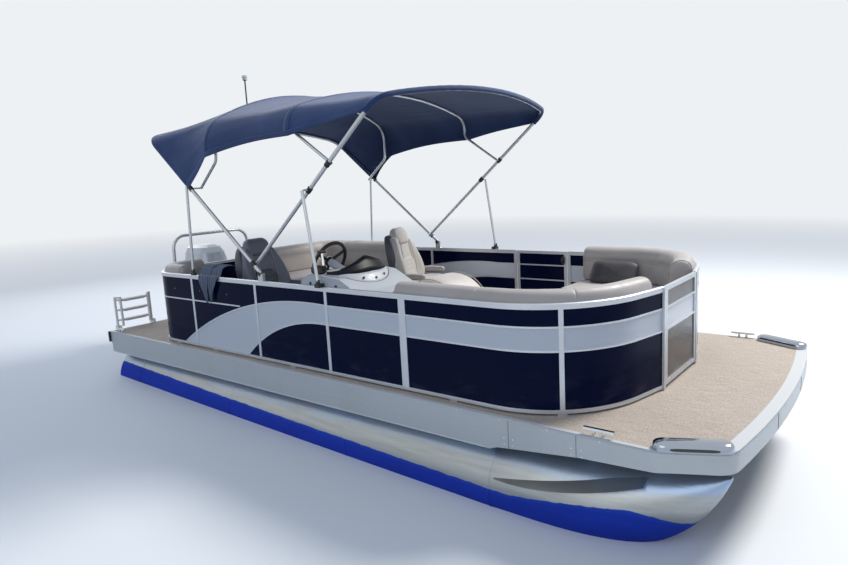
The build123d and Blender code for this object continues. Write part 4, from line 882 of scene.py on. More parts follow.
class BOAT_OT_stage(bpy.types.Operator):
    """Camera at the photograph's angle, pale floor at the waterline and soft studio light"""

    bl_idname = "boat.stage"
    bl_label = "Stage"

    def execute(self, context):
        scene = context.scene
        scene.view_settings.view_transform = "Standard"
        self.aim(scene)
        self.floor(scene)
        self.lamps(scene)
        self.sky(scene)
        return {"FINISHED"}

    def aim(self, scene):
        """The photograph's camera, solved on the boat's own edges."""
        place = Vector((3.809, -4.422, 2.042))
        turn, tilt, roll = radians(39.053), radians(9.139), radians(-3.115)
        back = Vector((sin(turn) * cos(tilt), -cos(turn) * cos(tilt), sin(tilt)))
        level = Vector((0, 0, 1)).cross(back).normalized()
        upright = back.cross(level)
        right = cos(roll) * level + sin(roll) * upright
        up = cos(roll) * upright - sin(roll) * level
        data = bpy.data.cameras.new("photograph")
        data.sensor_fit = "HORIZONTAL"
        data.sensor_width = 36.0
        data.lens = 27.16
        data.clip_end = 200.0
        camera = bpy.data.objects.new("photograph", data)
        camera.matrix_world = Matrix.Translation(place) @ Matrix((right, up, back)).transposed().to_4x4()
        scene.collection.objects.link(camera)
        scene.camera = camera

    def floor(self, scene):
        """Plane at the water's level, which the boat sits in with its stern low."""
        reach, height, slope = 40.0, 0.030, -0.029
        fade_start, fade_end = 6.0, 22.0
        corners = [(-reach, -reach), (reach, -reach), (reach, reach), (-reach, reach)]
        mesh = bpy.data.meshes.new("floor")
        mesh.from_pydata([(x, y, height + slope * x) for x, y in corners], [], [(0, 1, 2, 3)])
        made = Finish("floor_paint", tone("dfe3e6"), 0.85)
        rays = made.put("LightPath").outputs
        seen = made.maths("MAXIMUM", rays["Is Camera Ray"], rays["Is Transmission Ray"])
        seen = made.maths("MAXIMUM", seen, rays["Is Glossy Ray"])
        made.paint(made.mix(seen, tone("7d8894"), tone("dfe3e6")))
        far = made.put("VectorMath", {0: made.place}, operation="LENGTH").outputs["Value"]
        pale = made.put("Emission", {"Color": (*tone(ROOM), 1.0), "Strength": 1.0}).outputs[0]
        share = made.times(seen, made.span(far, fade_start, fade_end))
        mixed = made.put("MixShader", {0: share, 1: made.shader.outputs[0], 2: pale}).outputs[0]
        made.tree.links.new(mixed, made.tree.nodes["Material Output"].inputs["Surface"])
        mesh.materials.append(made.material)
        floor = bpy.data.objects.new("floor", mesh)
        scene.collection.objects.link(floor)

    def lamps(self, scene):
        """A broad key from the port bow, a weak fill from starboard and another from astern."""
        target = Vector((0, 0, 1))
        for name, place, size, power, warmth in (
            ("key", (5.0, 6.0, 9.0), 3.5, 1450.0, (1.0, 0.965, 0.91)),
            ("fill", (2.0, -9.0, 5.0), 8.0, 150.0, (0.94, 0.97, 1.0)),
            ("stern", (-8.0, 1.0, 5.0), 6.0, 120.0, (1.0, 1.0, 1.0)),
        ):
            data = bpy.data.lights.new(name, "AREA")
            data.shape = "DISK"
            data.size = size
            data.energy = power
            data.color = warmth
            lamp = bpy.data.objects.new(name, data)
            lamp.location = place
            lamp.rotation_euler = (target - Vector(place)).to_track_quat("-Z", "Y").to_euler()
            scene.collection.objects.link(lamp)

    def sky(self, scene):
        """A pale room: dimmer for the light it gives than for what is seen of it."""
        world = bpy.data.worlds.new("room")
        world.use_nodes = True
        scene.world = world
        nodes, links = world.node_tree.nodes, world.node_tree.links
        rays = nodes.new("ShaderNodeLightPath").outputs
        seen = rays["Is Camera Ray"]
        for kind in ("Is Glossy Ray", "Is Transmission Ray"):
            either = nodes.new("ShaderNodeMath")
            either.operation = "MAXIMUM"
            links.new(seen, either.inputs[0])
            links.new(rays[kind], either.inputs[1])
            seen = either.outputs[0]
        blend = nodes.new("ShaderNodeMixShader")
        links.new(seen, blend.inputs[0])
        for number, back, code, strength in (
            (1, nodes.new("ShaderNodeBackground"), "cbdaf3", 0.62),
            (2, nodes["Background"], ROOM, 1.0),
        ):
            back.inputs["Color"].default_value = (*tone(code), 1)
            back.inputs["Strength"].default_value = strength
            links.new(back.outputs[0], blend.inputs[number])
        links.new(blend.outputs[0], nodes["World Output"].inputs["Surface"])


class BOAT_OT_hull(bpy.types.Operator):
    """Finishes of the hull and deck, light housings, weld beads, seams and screws"""

    bl_idname = "boat.hull"
    bl_label = "Hull and deck"

    def execute(self, context):
        dress("hull", "pontoon_port", "pontoon_starboard")
        dress("member", "cross_members", "motor_pod")
        dress("skirt", "deck_edge")
        dress("plywood", "deck_panel")
        dress("floor", "woven_floor")
        dress("rubber", "stern_bumpers")
        dress("steel", "deck_cleats")
        self.housings()
        self.welds()
        self.ridges()
        self.fixings(context.scene.boat_sizes)
        self.housing_lenses()
        return {"FINISHED"}

    def corner(self, side, lift):
        """Turn and foot of the light housing on one corner of the deck."""
        foot = Vector((HOUSING_X, side * HOUSING_Y, DECK + lift))
        return Matrix.Rotation(-side * HOUSING_TURN, 3, "Z"), foot

    def housings(self):
        """Smooth polished domes over the bow lights, one on each corner of the deck."""
        half_long, half_wide = 0.200, 0.059
        straight = half_long - half_wide
        rise = (
            (0, 0), (0, 0.018), (0.0015, 0.027), (0.006, 0.035),
            (0.014, 0.0405), (0.028, 0.0440), (0.046, 0.0456), (0.0585, 0.0458),
        )
        domes = Shape()
        for side in SIDES:
            turn, foot = self.corner(side, 0.0004)
            rings = []
            for inset, height in rise:
                end_r = half_wide - inset
                rings.append([
                    foot + turn @ Vector((end * (straight + end_r * cos(a)), end * end_r * sin(a), height))
                    for end in (1, -1)
                    for a in np.linspace(-pi / 2, pi / 2, 15)
                ])
            domes.skin(rings)
        piece = domes.build("corner_domes", "boat", "bright_chrome", "housing", angle=50)
        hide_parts("corner_castings")

    def housing_lenses(self):
        """Lenses in the outboard walls of the housings, green to starboard and red to port."""
        half_long = 0.120
        for side, name, glass in ((-1, "starboard", "green"), (1, "port", "red")):
            turn, middle = self.corner(side, 0.015)
            lens = Shape()
            oblong = [(half_long * swell(cos(a), 0.35), swell(sin(a), 0.6)) for a in angles(28)]
            lens.skin([
                [middle + turn @ Vector((along, side * out, half_high * up)) for along, up in oblong]
                for out, half_high in ((0.0560, 0.0085), (0.0592, 0.0085), (0.0610, 0.0062))
            ])
            lens.build("bow_lens_" + name, "boat", "white_plastic", glass)

    def welds(self):
        """Weld beads round the tubes, at the seams of their sheets."""
        tube_r, draught = 0.3175, 0.230
        beads = Shape()
        for side in SIDES:
            y, z = side * (HULL_HALF - tube_r), tube_r - draught
            for x, bead_r in ((-2.62, 0.0035), (-1.05, 0.0035), (0.42, 0.0035), (1.70, 0.005)):
                line = [(x, y + tube_r * cos(a), z + tube_r * sin(a)) for a in np.linspace(0, 2 * pi, 73)]
                beads.tube(line, bead_r, 8, caps=False)
        beads.build("tube_welds", "boat", "bare_aluminium", "hull", weld=True)

    def ridges(self):
        """A faint rolled line along each side skirt, its turned-in foot, and the spray strip under it."""
        stern, low, front = HULL[0].x, HULL[0].z, 1.70
        section = (
            (0.005, 0.004), (0.045, -0.012), (0.115, -0.034),
            (0.117, -0.031), (0.045, -0.008), (0.005, 0.007),
        )
        ridges, strips = Shape(), Shape()
        for side in SIDES:
            for inset, up, r, sides in ((0.0006, 0.105, 0.0016, 6), (0.001, 0.004, 0.005, 8)):
                y, z = side * (HULL_HALF - inset), low + up
                ridges.tube([(x, y, z) for x in np.linspace(stern + 0.02, front, 30)], r, sides)
            strips.skin([
                [(x, side * (HULL_HALF - inset), low + up) for inset, up in section]
                for x in np.linspace(stern + 0.085, front - 0.04, 26)
            ])
        ridges.build("skirt_ridges", "boat", "bare_aluminium", "skirt")
        strips.build("spray_strips", "boat", "bare_aluminium", "member")

    def fixings(self, sizes):
        """Screws of the skirts and fascia, and the butt joints of the fascia's lengths."""
        head, rim, joint_r, sides = screw_head(sizes.rivet), DECK - 0.014, 0.0012, 10
        first, last, pitch = -3.0, 2.62, 0.32
        heads, joints = Shape(), Shape()
        for side in SIDES:
            face, out = side * HULL_HALF, (0, side, 0)
            for x in np.arange(first, last, pitch):
                heads.lathe(head, (x, face, DECK - 0.020), out, sides)
            for x, low in ((1.86, DECK - 0.19), (2.30, DECK - 0.155)):
                joints.tube([(x, side * (HULL_HALF + 0.0006), z) for z in (low, rim)], joint_r, 6)
                for z in (low + 0.02, low + 0.06):
                    for off in (-0.03, 0.03):
                        heads.lathe(head, (x + off, face, z), out, sides)
        bow = Walk(arc((BOW_HUB_X, 0), BOW_RADIUS, -BOW_SWEEP, BOW_SWEEP, 40))
        for d in np.linspace(0.10, bow.length - 0.10, 11):
            (x, y), (ix, iy) = bow.at(d)
            heads.lathe(head, (x + 0.0002, y, DECK - 0.022), (-ix, -iy, 0), sides)
        for share in (0.33, 0.67):
            (x, y), _ = bow.at(share * bow.length)
            joints.tube([(x + 0.001, y, z) for z in (DECK - 0.112, rim)], joint_r, 6)
        heads.build("edge_screws", "boat", "polished_steel", "steel")
        joints.build("edge_joints", "boat", "bare_aluminium", "seam")


class BOAT_OT_fence(bpy.types.Operator):
    """Finishes of the fence and gates, with rivets, latches and the rail's cap"""

    bl_idname = "boat.fence"
    bl_label = "Fence and gates"

    def execute(self, context):
        dress("rail", "fence_frame_port", "fence_frame_starboard")
        dress("rail", "bow_gate_frame", "side_gate_frame", "stern_gate_frame")
        dress("panel", "fence_panels", "side_gate_panel", "stern_gate_panel")
        dress("band", "fence_band")
        dress("gate", "bow_gate_panel")
        self.rivets(context.scene.boat_sizes.rivet * 0.8)
        self.latches()
        self.rail_cap()
        return {"FINISHED"}

    def rivets(self, r):
        """Rivets along the trim lines, outside, left out at the side gate."""
        start, end = FENCE.where(1, -0.70), FENCE.where(1, -0.40, last=True)
        pitch, gate_aft, gate_front = 0.42, 0.46, 1.06
        profile = ((r, 0), (r * 0.85, 0.0012), (r * 0.3, 0.0022))
        rivets = Shape()
        for side in SIDES:
            for z in (DECK + 0.024, DECK + 0.543, RAIL_TOP - 0.016):
                for d in np.arange(start, end, pitch):
                    (x, y), (ix, iy) = FENCE.at(d)
                    if side < 0 or not gate_aft < x < gate_front:
                        rivets.lathe(profile, (x, -y * side, z), (-ix, side * iy, 0), 8)
        rivets.build("fence_rivets", "boat", "satin_aluminium", "rail")

    def latches(self):
        """A slam latch on the free stile of each gate."""
        inset, level = 0.032, DECK + 0.60
        knob = ((0.004, 0), (0.004, 0.016), (0.009, 0.018), (0.010, 0.024), (0.006, 0.028))
        for gate, x, y, inward in (
            ("bow_gate", FENCE_FRONT - inset, -0.285, (-1, 0, 0)),
            ("side_gate", 1.000, FENCE_HALF - inset, (0, -1, 0)),
            ("stern_gate", FENCE_AFT + inset, -0.605, (1, 0, 0)),
        ):
            turn, centre, inward = upright_to(inward), Vector((x, y, level)), Vector(inward)
            latch = Shape()
            latch.block(centre, (0.034, 0.070, 0.010), turn, 0.003)
            latch.block(centre + inward * 0.011, (0.022, 0.040, 0.012), turn, 0.004)
            latch.lathe(knob, centre + inward * 0.012, inward, 14)
            latch.build(gate + "_latch", gate, "black_plastic", "black")

    def rail_cap(self):
        """Round-cornered cap along the top rail, broken at the gates."""
        profile = closed_curve([
            (-0.001, RAIL_TOP - 0.004), (0.004, RAIL_TOP + 0.0035), (0.015, RAIL_TOP + 0.0045),
            (0.026, RAIL_TOP + 0.0035), (0.031, RAIL_TOP - 0.004), (0.015, RAIL_TOP - 0.001),
        ], 3)
        stern_gate, bow_gate = FENCE.where(1, -0.655), FENCE.where(1, -0.332, last=True)
        side_gate = (FENCE.where(0, 0.470), FENCE.where(0, 1.055))
        step = 0.03
        cap = Shape()
        for side, first, last in (
            (-1, stern_gate, bow_gate),
            (1, FENCE.where(1, -0.004) + 0.02, side_gate[0]),
            (1, side_gate[1], bow_gate),
        ):
            cap.skin([port_of(FENCE.inside(d, profile), side) for d in np.arange(first, last, step)])
        cap.build("rail_cap", "boat", "satin_aluminium", "rail")


# Upholstery: the profile of a backrest gives its distance in from the fence's face, and its height
SEAT_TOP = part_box("seat_cushion_port")[1].z
BACK_IN = 0.197
BACK_PROFILE = [
    (0.040, 1.052), (0.034, 1.100), (0.033, 1.180), (0.033, 1.250), (0.038, 1.305), (0.060, 1.340),
    (0.100, 1.353), (0.148, 1.345), (0.182, 1.315), (0.197, 1.270), (0.194, 1.235), (0.199, 1.195),
    (0.204, 1.140), (0.200, 1.080), (0.186, 1.054), (0.120, 1.0515),
]


def plan_of(corner):
    """A corner's place in plan, to a tenth of a millimetre."""
    return round(corner.co.x, 4), round(corner.co.y, 4)


class BOAT_OT_lounges(bpy.types.Operator):
    """Upholstery of the four lounges: seats, backrests, piping, headrest and moulded bases"""

    bl_idname = "boat.lounges"
    bl_label = "Lounges"

    # how far a base's flat face keeps from the aft and forward ends of its box
    face_ends = {"starboard": (0.10, 0.70), "port": (0.10, 0.70), "aft": (0.66, 0.12), "corner": (0.10, 0.12)}

    def execute(self, context):
        sizes = context.scene.boat_sizes
        bow_end = FENCE.where(1, -0.400, last=True)
        for name, side, start, end in (
            ("starboard", -1, FENCE.where(0, 0.890), bow_end),
            ("port", 1, FENCE.where(0, 1.270), bow_end),
            ("aft", 1, 0.020, FENCE.where(0, -0.960, last=True)),
            ("corner", -1, 0.686, FENCE.where(0, -1.788, last=True)),
        ):
            dress("base", "lounge_base_" + name)
            self.back(name, side, start, end, sizes)
            self.seat(name, sizes)
            self.base_trim(name)
        self.chaise(sizes)
        self.pillow()
        return {"FINISHED"}

    def chaise(self, sizes):
        """Raised headrest cushion at the aft end of the starboard lounge."""
        middle_y, welt_in = -0.785, 0.178
        head = Shape()
        pad(head, [
            (0.905, 0.004, 0.262, 0.190, 0.0),
            (0.990, 0.004, 0.300, 0.198, 0.0),
            (1.080, 0.006, 0.304, 0.200, 0.0),
            (1.180, 0.010, 0.270, 0.198, 0.0),
            (1.270, 0.012, 0.190, 0.192, 0.0),
            (1.340, 0.014, 0.080, 0.182, 0.0),
        ], FLAT, 0.040, (0, middle_y, SEAT_TOP), 48, 0.42)
        head.slot = 1
        for side in SIDES:
            line = [(0.93, 0.262), (0.99, 0.292), (1.08, 0.298), (1.18, 0.266), (1.26, 0.196), (1.31, 0.110)]
            line = [(x, middle_y + side * welt_in, SEAT_TOP + z) for x, z in line]
            head.tube(blend_rows(line), sizes.welt, 8)
        piece = head.build("chaise_cushion", "boat", "light_vinyl", "mate", "stitch")

    def back(self, name, side, start, end, sizes):
        """Face and rolled top of one backrest, with piping where they are sewn."""
        cushion = Shape()
        count = max(1, round((end - start) / sizes.panel_run))
        seams = [start + (end - start) * (i + 1) / count for i in range(count - 1)]
        bolster(cushion, start, end, closed_curve(BACK_PROFILE), side, seams)
        cushion.slot = 1
        step, end_in = 0.03, 0.028
        first, last = start + step, end - step
        for pair in ((0.0335, 1.235), (0.1945, 1.228)):
            spots = np.linspace(first, last, max(2, int((last - first) / step)))
            line = [point for d in spots for point in FENCE.inside(d, [pair])]
            cushion.tube(port_of(line, side), sizes.welt, 8)
        middle, shrink = np.array((0.115, 1.2)), 0.99
        ring = [middle + (np.array(pair) - middle) * shrink for pair in closed_curve(BACK_PROFILE, 2)]
        for d in (start + end_in, end - end_in):
            cushion.hoop(port_of(FENCE.inside(d, ring), side), sizes.welt)
        piece = cushion.build("backrest_" + name, "boat", "light_vinyl", "lounge", "stitch")
        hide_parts("back_cushion_" + name)

    def seat(self, name, sizes):
        """A seat cushion grown from its block: rounded, crowned, and piped round both its edges."""
        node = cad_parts["seat_cushion_" + name]
        low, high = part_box("seat_cushion_" + name)
        outline = self.outline_of(node, low.z)
        mesh = grown(node, sizes.voxel)
        points = np.empty(len(mesh.vertices) * 3)
        mesh.vertices.foreach_get("co", points)
        points = points.reshape(-1, 3)
        plan = points[:, :2]
        edge = distance_to(plan, outline, closed=True)
        fence = np.minimum(distance_to(plan, FENCE.line), distance_to(plan, FENCE.line * (1, -1)))
        height = (points[:, 2] - low.z) / (high.z - low.z)
        # the crown rises away from the edges and from the foot of the backrest
        crown_run, back_run, sunk = 0.14, 0.12, 0.001
        rise = smooth(edge / crown_run) * smooth((fence - BACK_IN + 0.01) / back_run)
        points[:, 2] += np.where(height > 0.5, sizes.crown * rise, 0.0) - sunk
        # the sides belly out at half their height, except against the fence
        belly, belly_run, fence_run = 0.005, 0.02, 0.1
        out = plan - plan.mean(axis=0)
        out /= np.maximum(np.linalg.norm(out, axis=1), 1e-6)[:, None]
        bulge = np.exp(-((edge / belly_run) ** 2)) * np.sin(pi * np.clip(height, 0, 1)) * belly
        points[:, :2] += out * (bulge * smooth((fence - fence_run) / fence_run))[:, None]
        mesh.vertices.foreach_set("co", points.ravel())
        mesh.materials.clear()
        mesh.materials.append(finish("lounge"))
        mesh.polygons.foreach_set("material_index", [0] * len(mesh.polygons))
        mesh.shade_smooth()
        piece = piece_of("seat_pad_" + name, mesh, "boat")
        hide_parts("seat_cushion_" + name)
        welt_in, corner_r, proud = 0.020, 0.022, 0.004
        welt = Shape()
        ring = rounded_ring(outline, corner_r, proud)
        for z in (high.z - welt_in, low.z + welt_in):
            welt.hoop([(x, y, z) for x, y in ring], sizes.welt, 8)
        welt.build("seat_piping_" + name, "boat", "light_vinyl", "stitch")

    def outline_of(self, node, low):
        """Corners of the cushion's foot in order, starting anywhere."""
        work = bmesh.new()
        work.from_mesh(node.data)
        border = {}
        for face in work.faces:
            if face.normal.z < -0.9 and abs(face.calc_center_median().z - low) < 0.002:
                for loop in face.loops:
                    # an edge that is met both ways lies inside the foot
                    start, end = plan_of(loop.vert), plan_of(loop.link_loop_next.vert)
                    if border.pop((end, start), None) is None:
                        border[(start, end)] = True
        work.free()
        after = dict(border.keys())
        start = next(iter(after))
        ring, spot = [start], after[start]
        while spot != start:
            ring.append(spot)
            spot = after[spot]
        return np.array(ring)

    def base_trim(self, name):
        """Painted shadow strip of the toe recess, and a storage door's joint, on the moulded base."""
        low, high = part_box("lounge_base_" + name)
        side = 1 if high.y > 0 else -1
        face_y = low.y if side > 0 else high.y
        if name == "aft":
            face_y = FENCE_HALF - 0.580
        y = face_y - side * 0.0012
        x0, x1 = low.x + self.face_ends[name][0], high.x - self.face_ends[name][1]
        trim = Shape()
        # a dark strip along the foot: painted shadow of the toe recess
        trim.tube([(x0, y, DECK + 0.045), (x1, y, DECK + 0.045)], 0.003, 6)
        if x1 - x0 > 0.5:
            # room for a door, with its finger pull
            middle = (x0 + x1) / 2
            corners = ((-0.20, 0.09), (0.20, 0.09), (0.20, 0.27), (-0.20, 0.27))
            door = rounded_ring([(middle + along, DECK + up) for along, up in corners], 0.03, 0.0)
            trim.hoop([(x, y, z) for x, z in door], 0.0022)
            trim.block((middle, y - side * 0.004, DECK + 0.25), (0.06, 0.014, 0.022), None, 0.003)
        trim.build("base_shadow_and_joints_" + name, "boat", "lounge_plastic", "seam")

    def pillow(self):
        """A loose dark cushion against the port bow backrest."""
        centre = Vector((1.62, 0.905, SEAT_TOP + 0.100))
        lean = Matrix.Rotation(radians(-38), 3, "X") @ Matrix.Rotation(radians(3), 3, "Z")
        half_w, half_h, half_t = 0.215, 0.125, 0.050
        rings = []
        for share in np.linspace(-1, 1, 25):
            grow = 0.02 + 0.98 * sqrt(max(0.0, 1 - abs(share) ** 2.4))
            ring = []
            for a in angles(40):
                x, z = swell(cos(a), 0.45), swell(sin(a), 0.45)
                grip = grow * (1 - 0.06 * (1 - abs(x) ** 2) - 0.06 * (1 - abs(z) ** 2))
                spot = Vector((half_w * x * grip, half_t * swell(share, 1.3), half_h * z * grip))
                ring.append(centre + lean @ spot)
            rings.append(ring)
        stuffed = Shape()
        stuffed.skin(rings)
        piece = stuffed.build("loose_pillow", "boat", "grey_vinyl", "pillow")


class BOAT_OT_chairs(bpy.types.Operator):
    """Bucket chairs of the helm and the companion, each on its pedestal"""

    bl_idname = "boat.chairs"
    bl_label = "Chairs"

    # pads as (way along, low face, high face, half width, wing), from the swivel's axis and its plate
    seat = (
        (-0.150, 0.064, 0.120, 0.215, 0.020), (-0.020, 0.062, 0.132, 0.240, 0.030),
        (0.120, 0.062, 0.138, 0.248, 0.028), (0.210, 0.060, 0.134, 0.244, 0.016),
        (0.268, 0.052, 0.116, 0.228, 0.000),
    )
    back = (
        (0.125, -0.165, -0.085, 0.250, 0.050), (0.200, -0.185, -0.100, 0.268, 0.075),
        (0.320, -0.210, -0.125, 0.262, 0.070), (0.430, -0.232, -0.150, 0.236, 0.052),
        (0.520, -0.250, -0.168, 0.200, 0.032), (0.585, -0.258, -0.184, 0.168, 0.014),
    )
    headrest = (
        (0.500, -0.262, -0.146, 0.128, 0.0), (0.560, -0.270, -0.150, 0.142, 0.0),
        (0.620, -0.272, -0.168, 0.138, 0.0), (0.668, -0.262, -0.196, 0.104, 0.0),
    )
    seat_insert = (
        (-0.095, 0.100, 0.150, 0.135, 0.0), (0.090, 0.105, 0.153, 0.145, 0.0),
        (0.225, 0.095, 0.142, 0.138, 0.0),
    )
    back_insert = (
        (0.150, -0.140, -0.070, 0.150, 0.0), (0.230, -0.150, -0.084, 0.158, 0.0),
        (0.320, -0.165, -0.104, 0.138, 0.0), (0.365, -0.172, -0.116, 0.085, 0.0),
    )
    armrest = (
        (-0.140, 0.172, 0.222, 0.028, 0.0), (0.020, 0.176, 0.232, 0.032, 0.0),
        (0.168, 0.170, 0.222, 0.026, 0.0),
    )
    bucket_back = (
        (0.040, -0.235, -0.150, 0.205, 0.020), (0.140, -0.252, -0.170, 0.250, 0.070),
        (0.300, -0.278, -0.205, 0.260, 0.085), (0.430, -0.300, -0.228, 0.248, 0.070),
        (0.540, -0.318, -0.246, 0.205, 0.040), (0.598, -0.322, -0.256, 0.160, 0.020),
    )
    bucket_seat = (
        (-0.235, 0.001, 0.070, 0.195, 0.020), (-0.050, 0.001, 0.066, 0.240, 0.022),
        (0.150, 0.001, 0.064, 0.252, 0.018), (0.252, 0.008, 0.062, 0.235, 0.000),
    )
    arm_out = 0.285

    def execute(self, context):
        dress("steel", "helm_chair_pedestal", "companion_chair_pedestal")
        welt = context.scene.boat_sizes.welt
        for name, finishes, slot, facing in (
            ("helm_chair", ("helm", "helm_dark", "helm"), "grey_vinyl", 6.0),
            ("companion_chair", ("mate", "mate", "lounge"), "light_vinyl", 18.0),
        ):
            low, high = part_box(name + "_pedestal")
            place = Vector(((low.x + high.x) / 2, (low.y + high.y) / 2, high.z))
            self.shell(name, place, facing)
            self.base(name, place)
            self.upholstery(name, place, facing, finishes, slot, welt)
        return {"FINISHED"}

    def upholstery(self, name, place, facing, finishes, slot, welt):
        """Seat, winged back, headrest, pleated inserts, armrests and piping."""
        soft = Shape()
        pad(soft, self.seat, FLAT, 0.026)
        pad(soft, self.back, UPRIGHT, 0.028)
        pad(soft, self.headrest, UPRIGHT, 0.030)
        soft.slot = 1
        pad(soft, self.seat_insert, FLAT, 0.012, pleats=5)
        pad(soft, self.back_insert, UPRIGHT, 0.012, pleats=5)
        soft.slot = 2
        for side in SIDES:
            pad(soft, self.armrest, FLAT, 0.020, (0, side * self.arm_out, 0), 28)
        soft.slot = 3
        for side in SIDES:
            line = ((-0.078, 0.130, 0.170), (-0.104, 0.146, 0.330), (-0.150, 0.124, 0.540))
            soft.tube(blend_rows([(x, side * y, z) for x, y, z in line]), welt, 8)
        soft.carry(facing, place)
        piece = soft.build(name + "_upholstery", name, slot, *finishes, "stitch", angle=50)
        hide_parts(name + "_cushion")

    def shell(self, name, place, facing):
        """Moulded bucket, arm brackets, and the swivel plate under it with its lever."""
        shell = Shape()
        pad(shell, self.bucket_back, UPRIGHT, 0.022)
        pad(shell, self.bucket_seat, FLAT, 0.018)
        # each arm's tube, from its hub on the bucket to under the armrest
        arm = (
            (-0.200, 0.235, 0.150), (-0.165, 0.272, 0.178),
            (-0.120, self.arm_out, 0.184), (0.120, self.arm_out, 0.182),
        )
        for side in SIDES:
            shell.tube([(x, side * y, z) for x, y, z in arm], [0.026, 0.022, 0.016, 0.014], 14)
            hub = ((0.0, 0), (0.026, 0), (0.026, 0.010), (0.016, 0.014), (0.0, 0.014))
            shell.lathe(hub, (-0.190, side * 0.240, 0.160), (0, side, 0), 20)
        shell.slot = 1
        shell.block((0, 0, 0.0012), (0.20, 0.20, 0.006), None, 0.002)
        shell.lathe(((0.046, -0.060), (0.050, -0.052), (0.050, -0.020), (0.044, -0.012)), (0, 0, 0), sides=28)
        shell.tube([(0.030, -0.045, -0.040), (0.150, -0.085, -0.034)], 0.006, 10)
        knob = ((0.0, -0.012), (0.011, -0.010), (0.011, 0.010), (0.0, 0.012))
        shell.lathe(knob, (0.155, -0.087, -0.034), (0.93, -0.36, 0), 14)
        shell.carry(facing, place)
        piece = shell.build(name + "_bucket", name, "grey_vinyl", "shell", "steel", angle=45)
        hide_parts(name + "_shell")

    def base(self, name, place):
        """Six screws and a collar at the pedestal's foot."""
        x, y, ring_r = place.x, place.y, 0.128
        screw = ((0.008, 0), (0.008, 0.002), (0.004, 0.004))
        base = Shape()
        for a in angles(6):
            base.lathe(screw, (x + ring_r * cos(a), y + ring_r * sin(a), DECK + 0.014), sides=12)
        collar = ((0.060, 0), (0.058, 0.014), (0.041, 0.024), (0.040, 0.030))
        base.lathe(collar, (x, y, DECK + 0.013), sides=32)
        base.build(name + "_base_screws", "boat", "polished_steel", "steel")


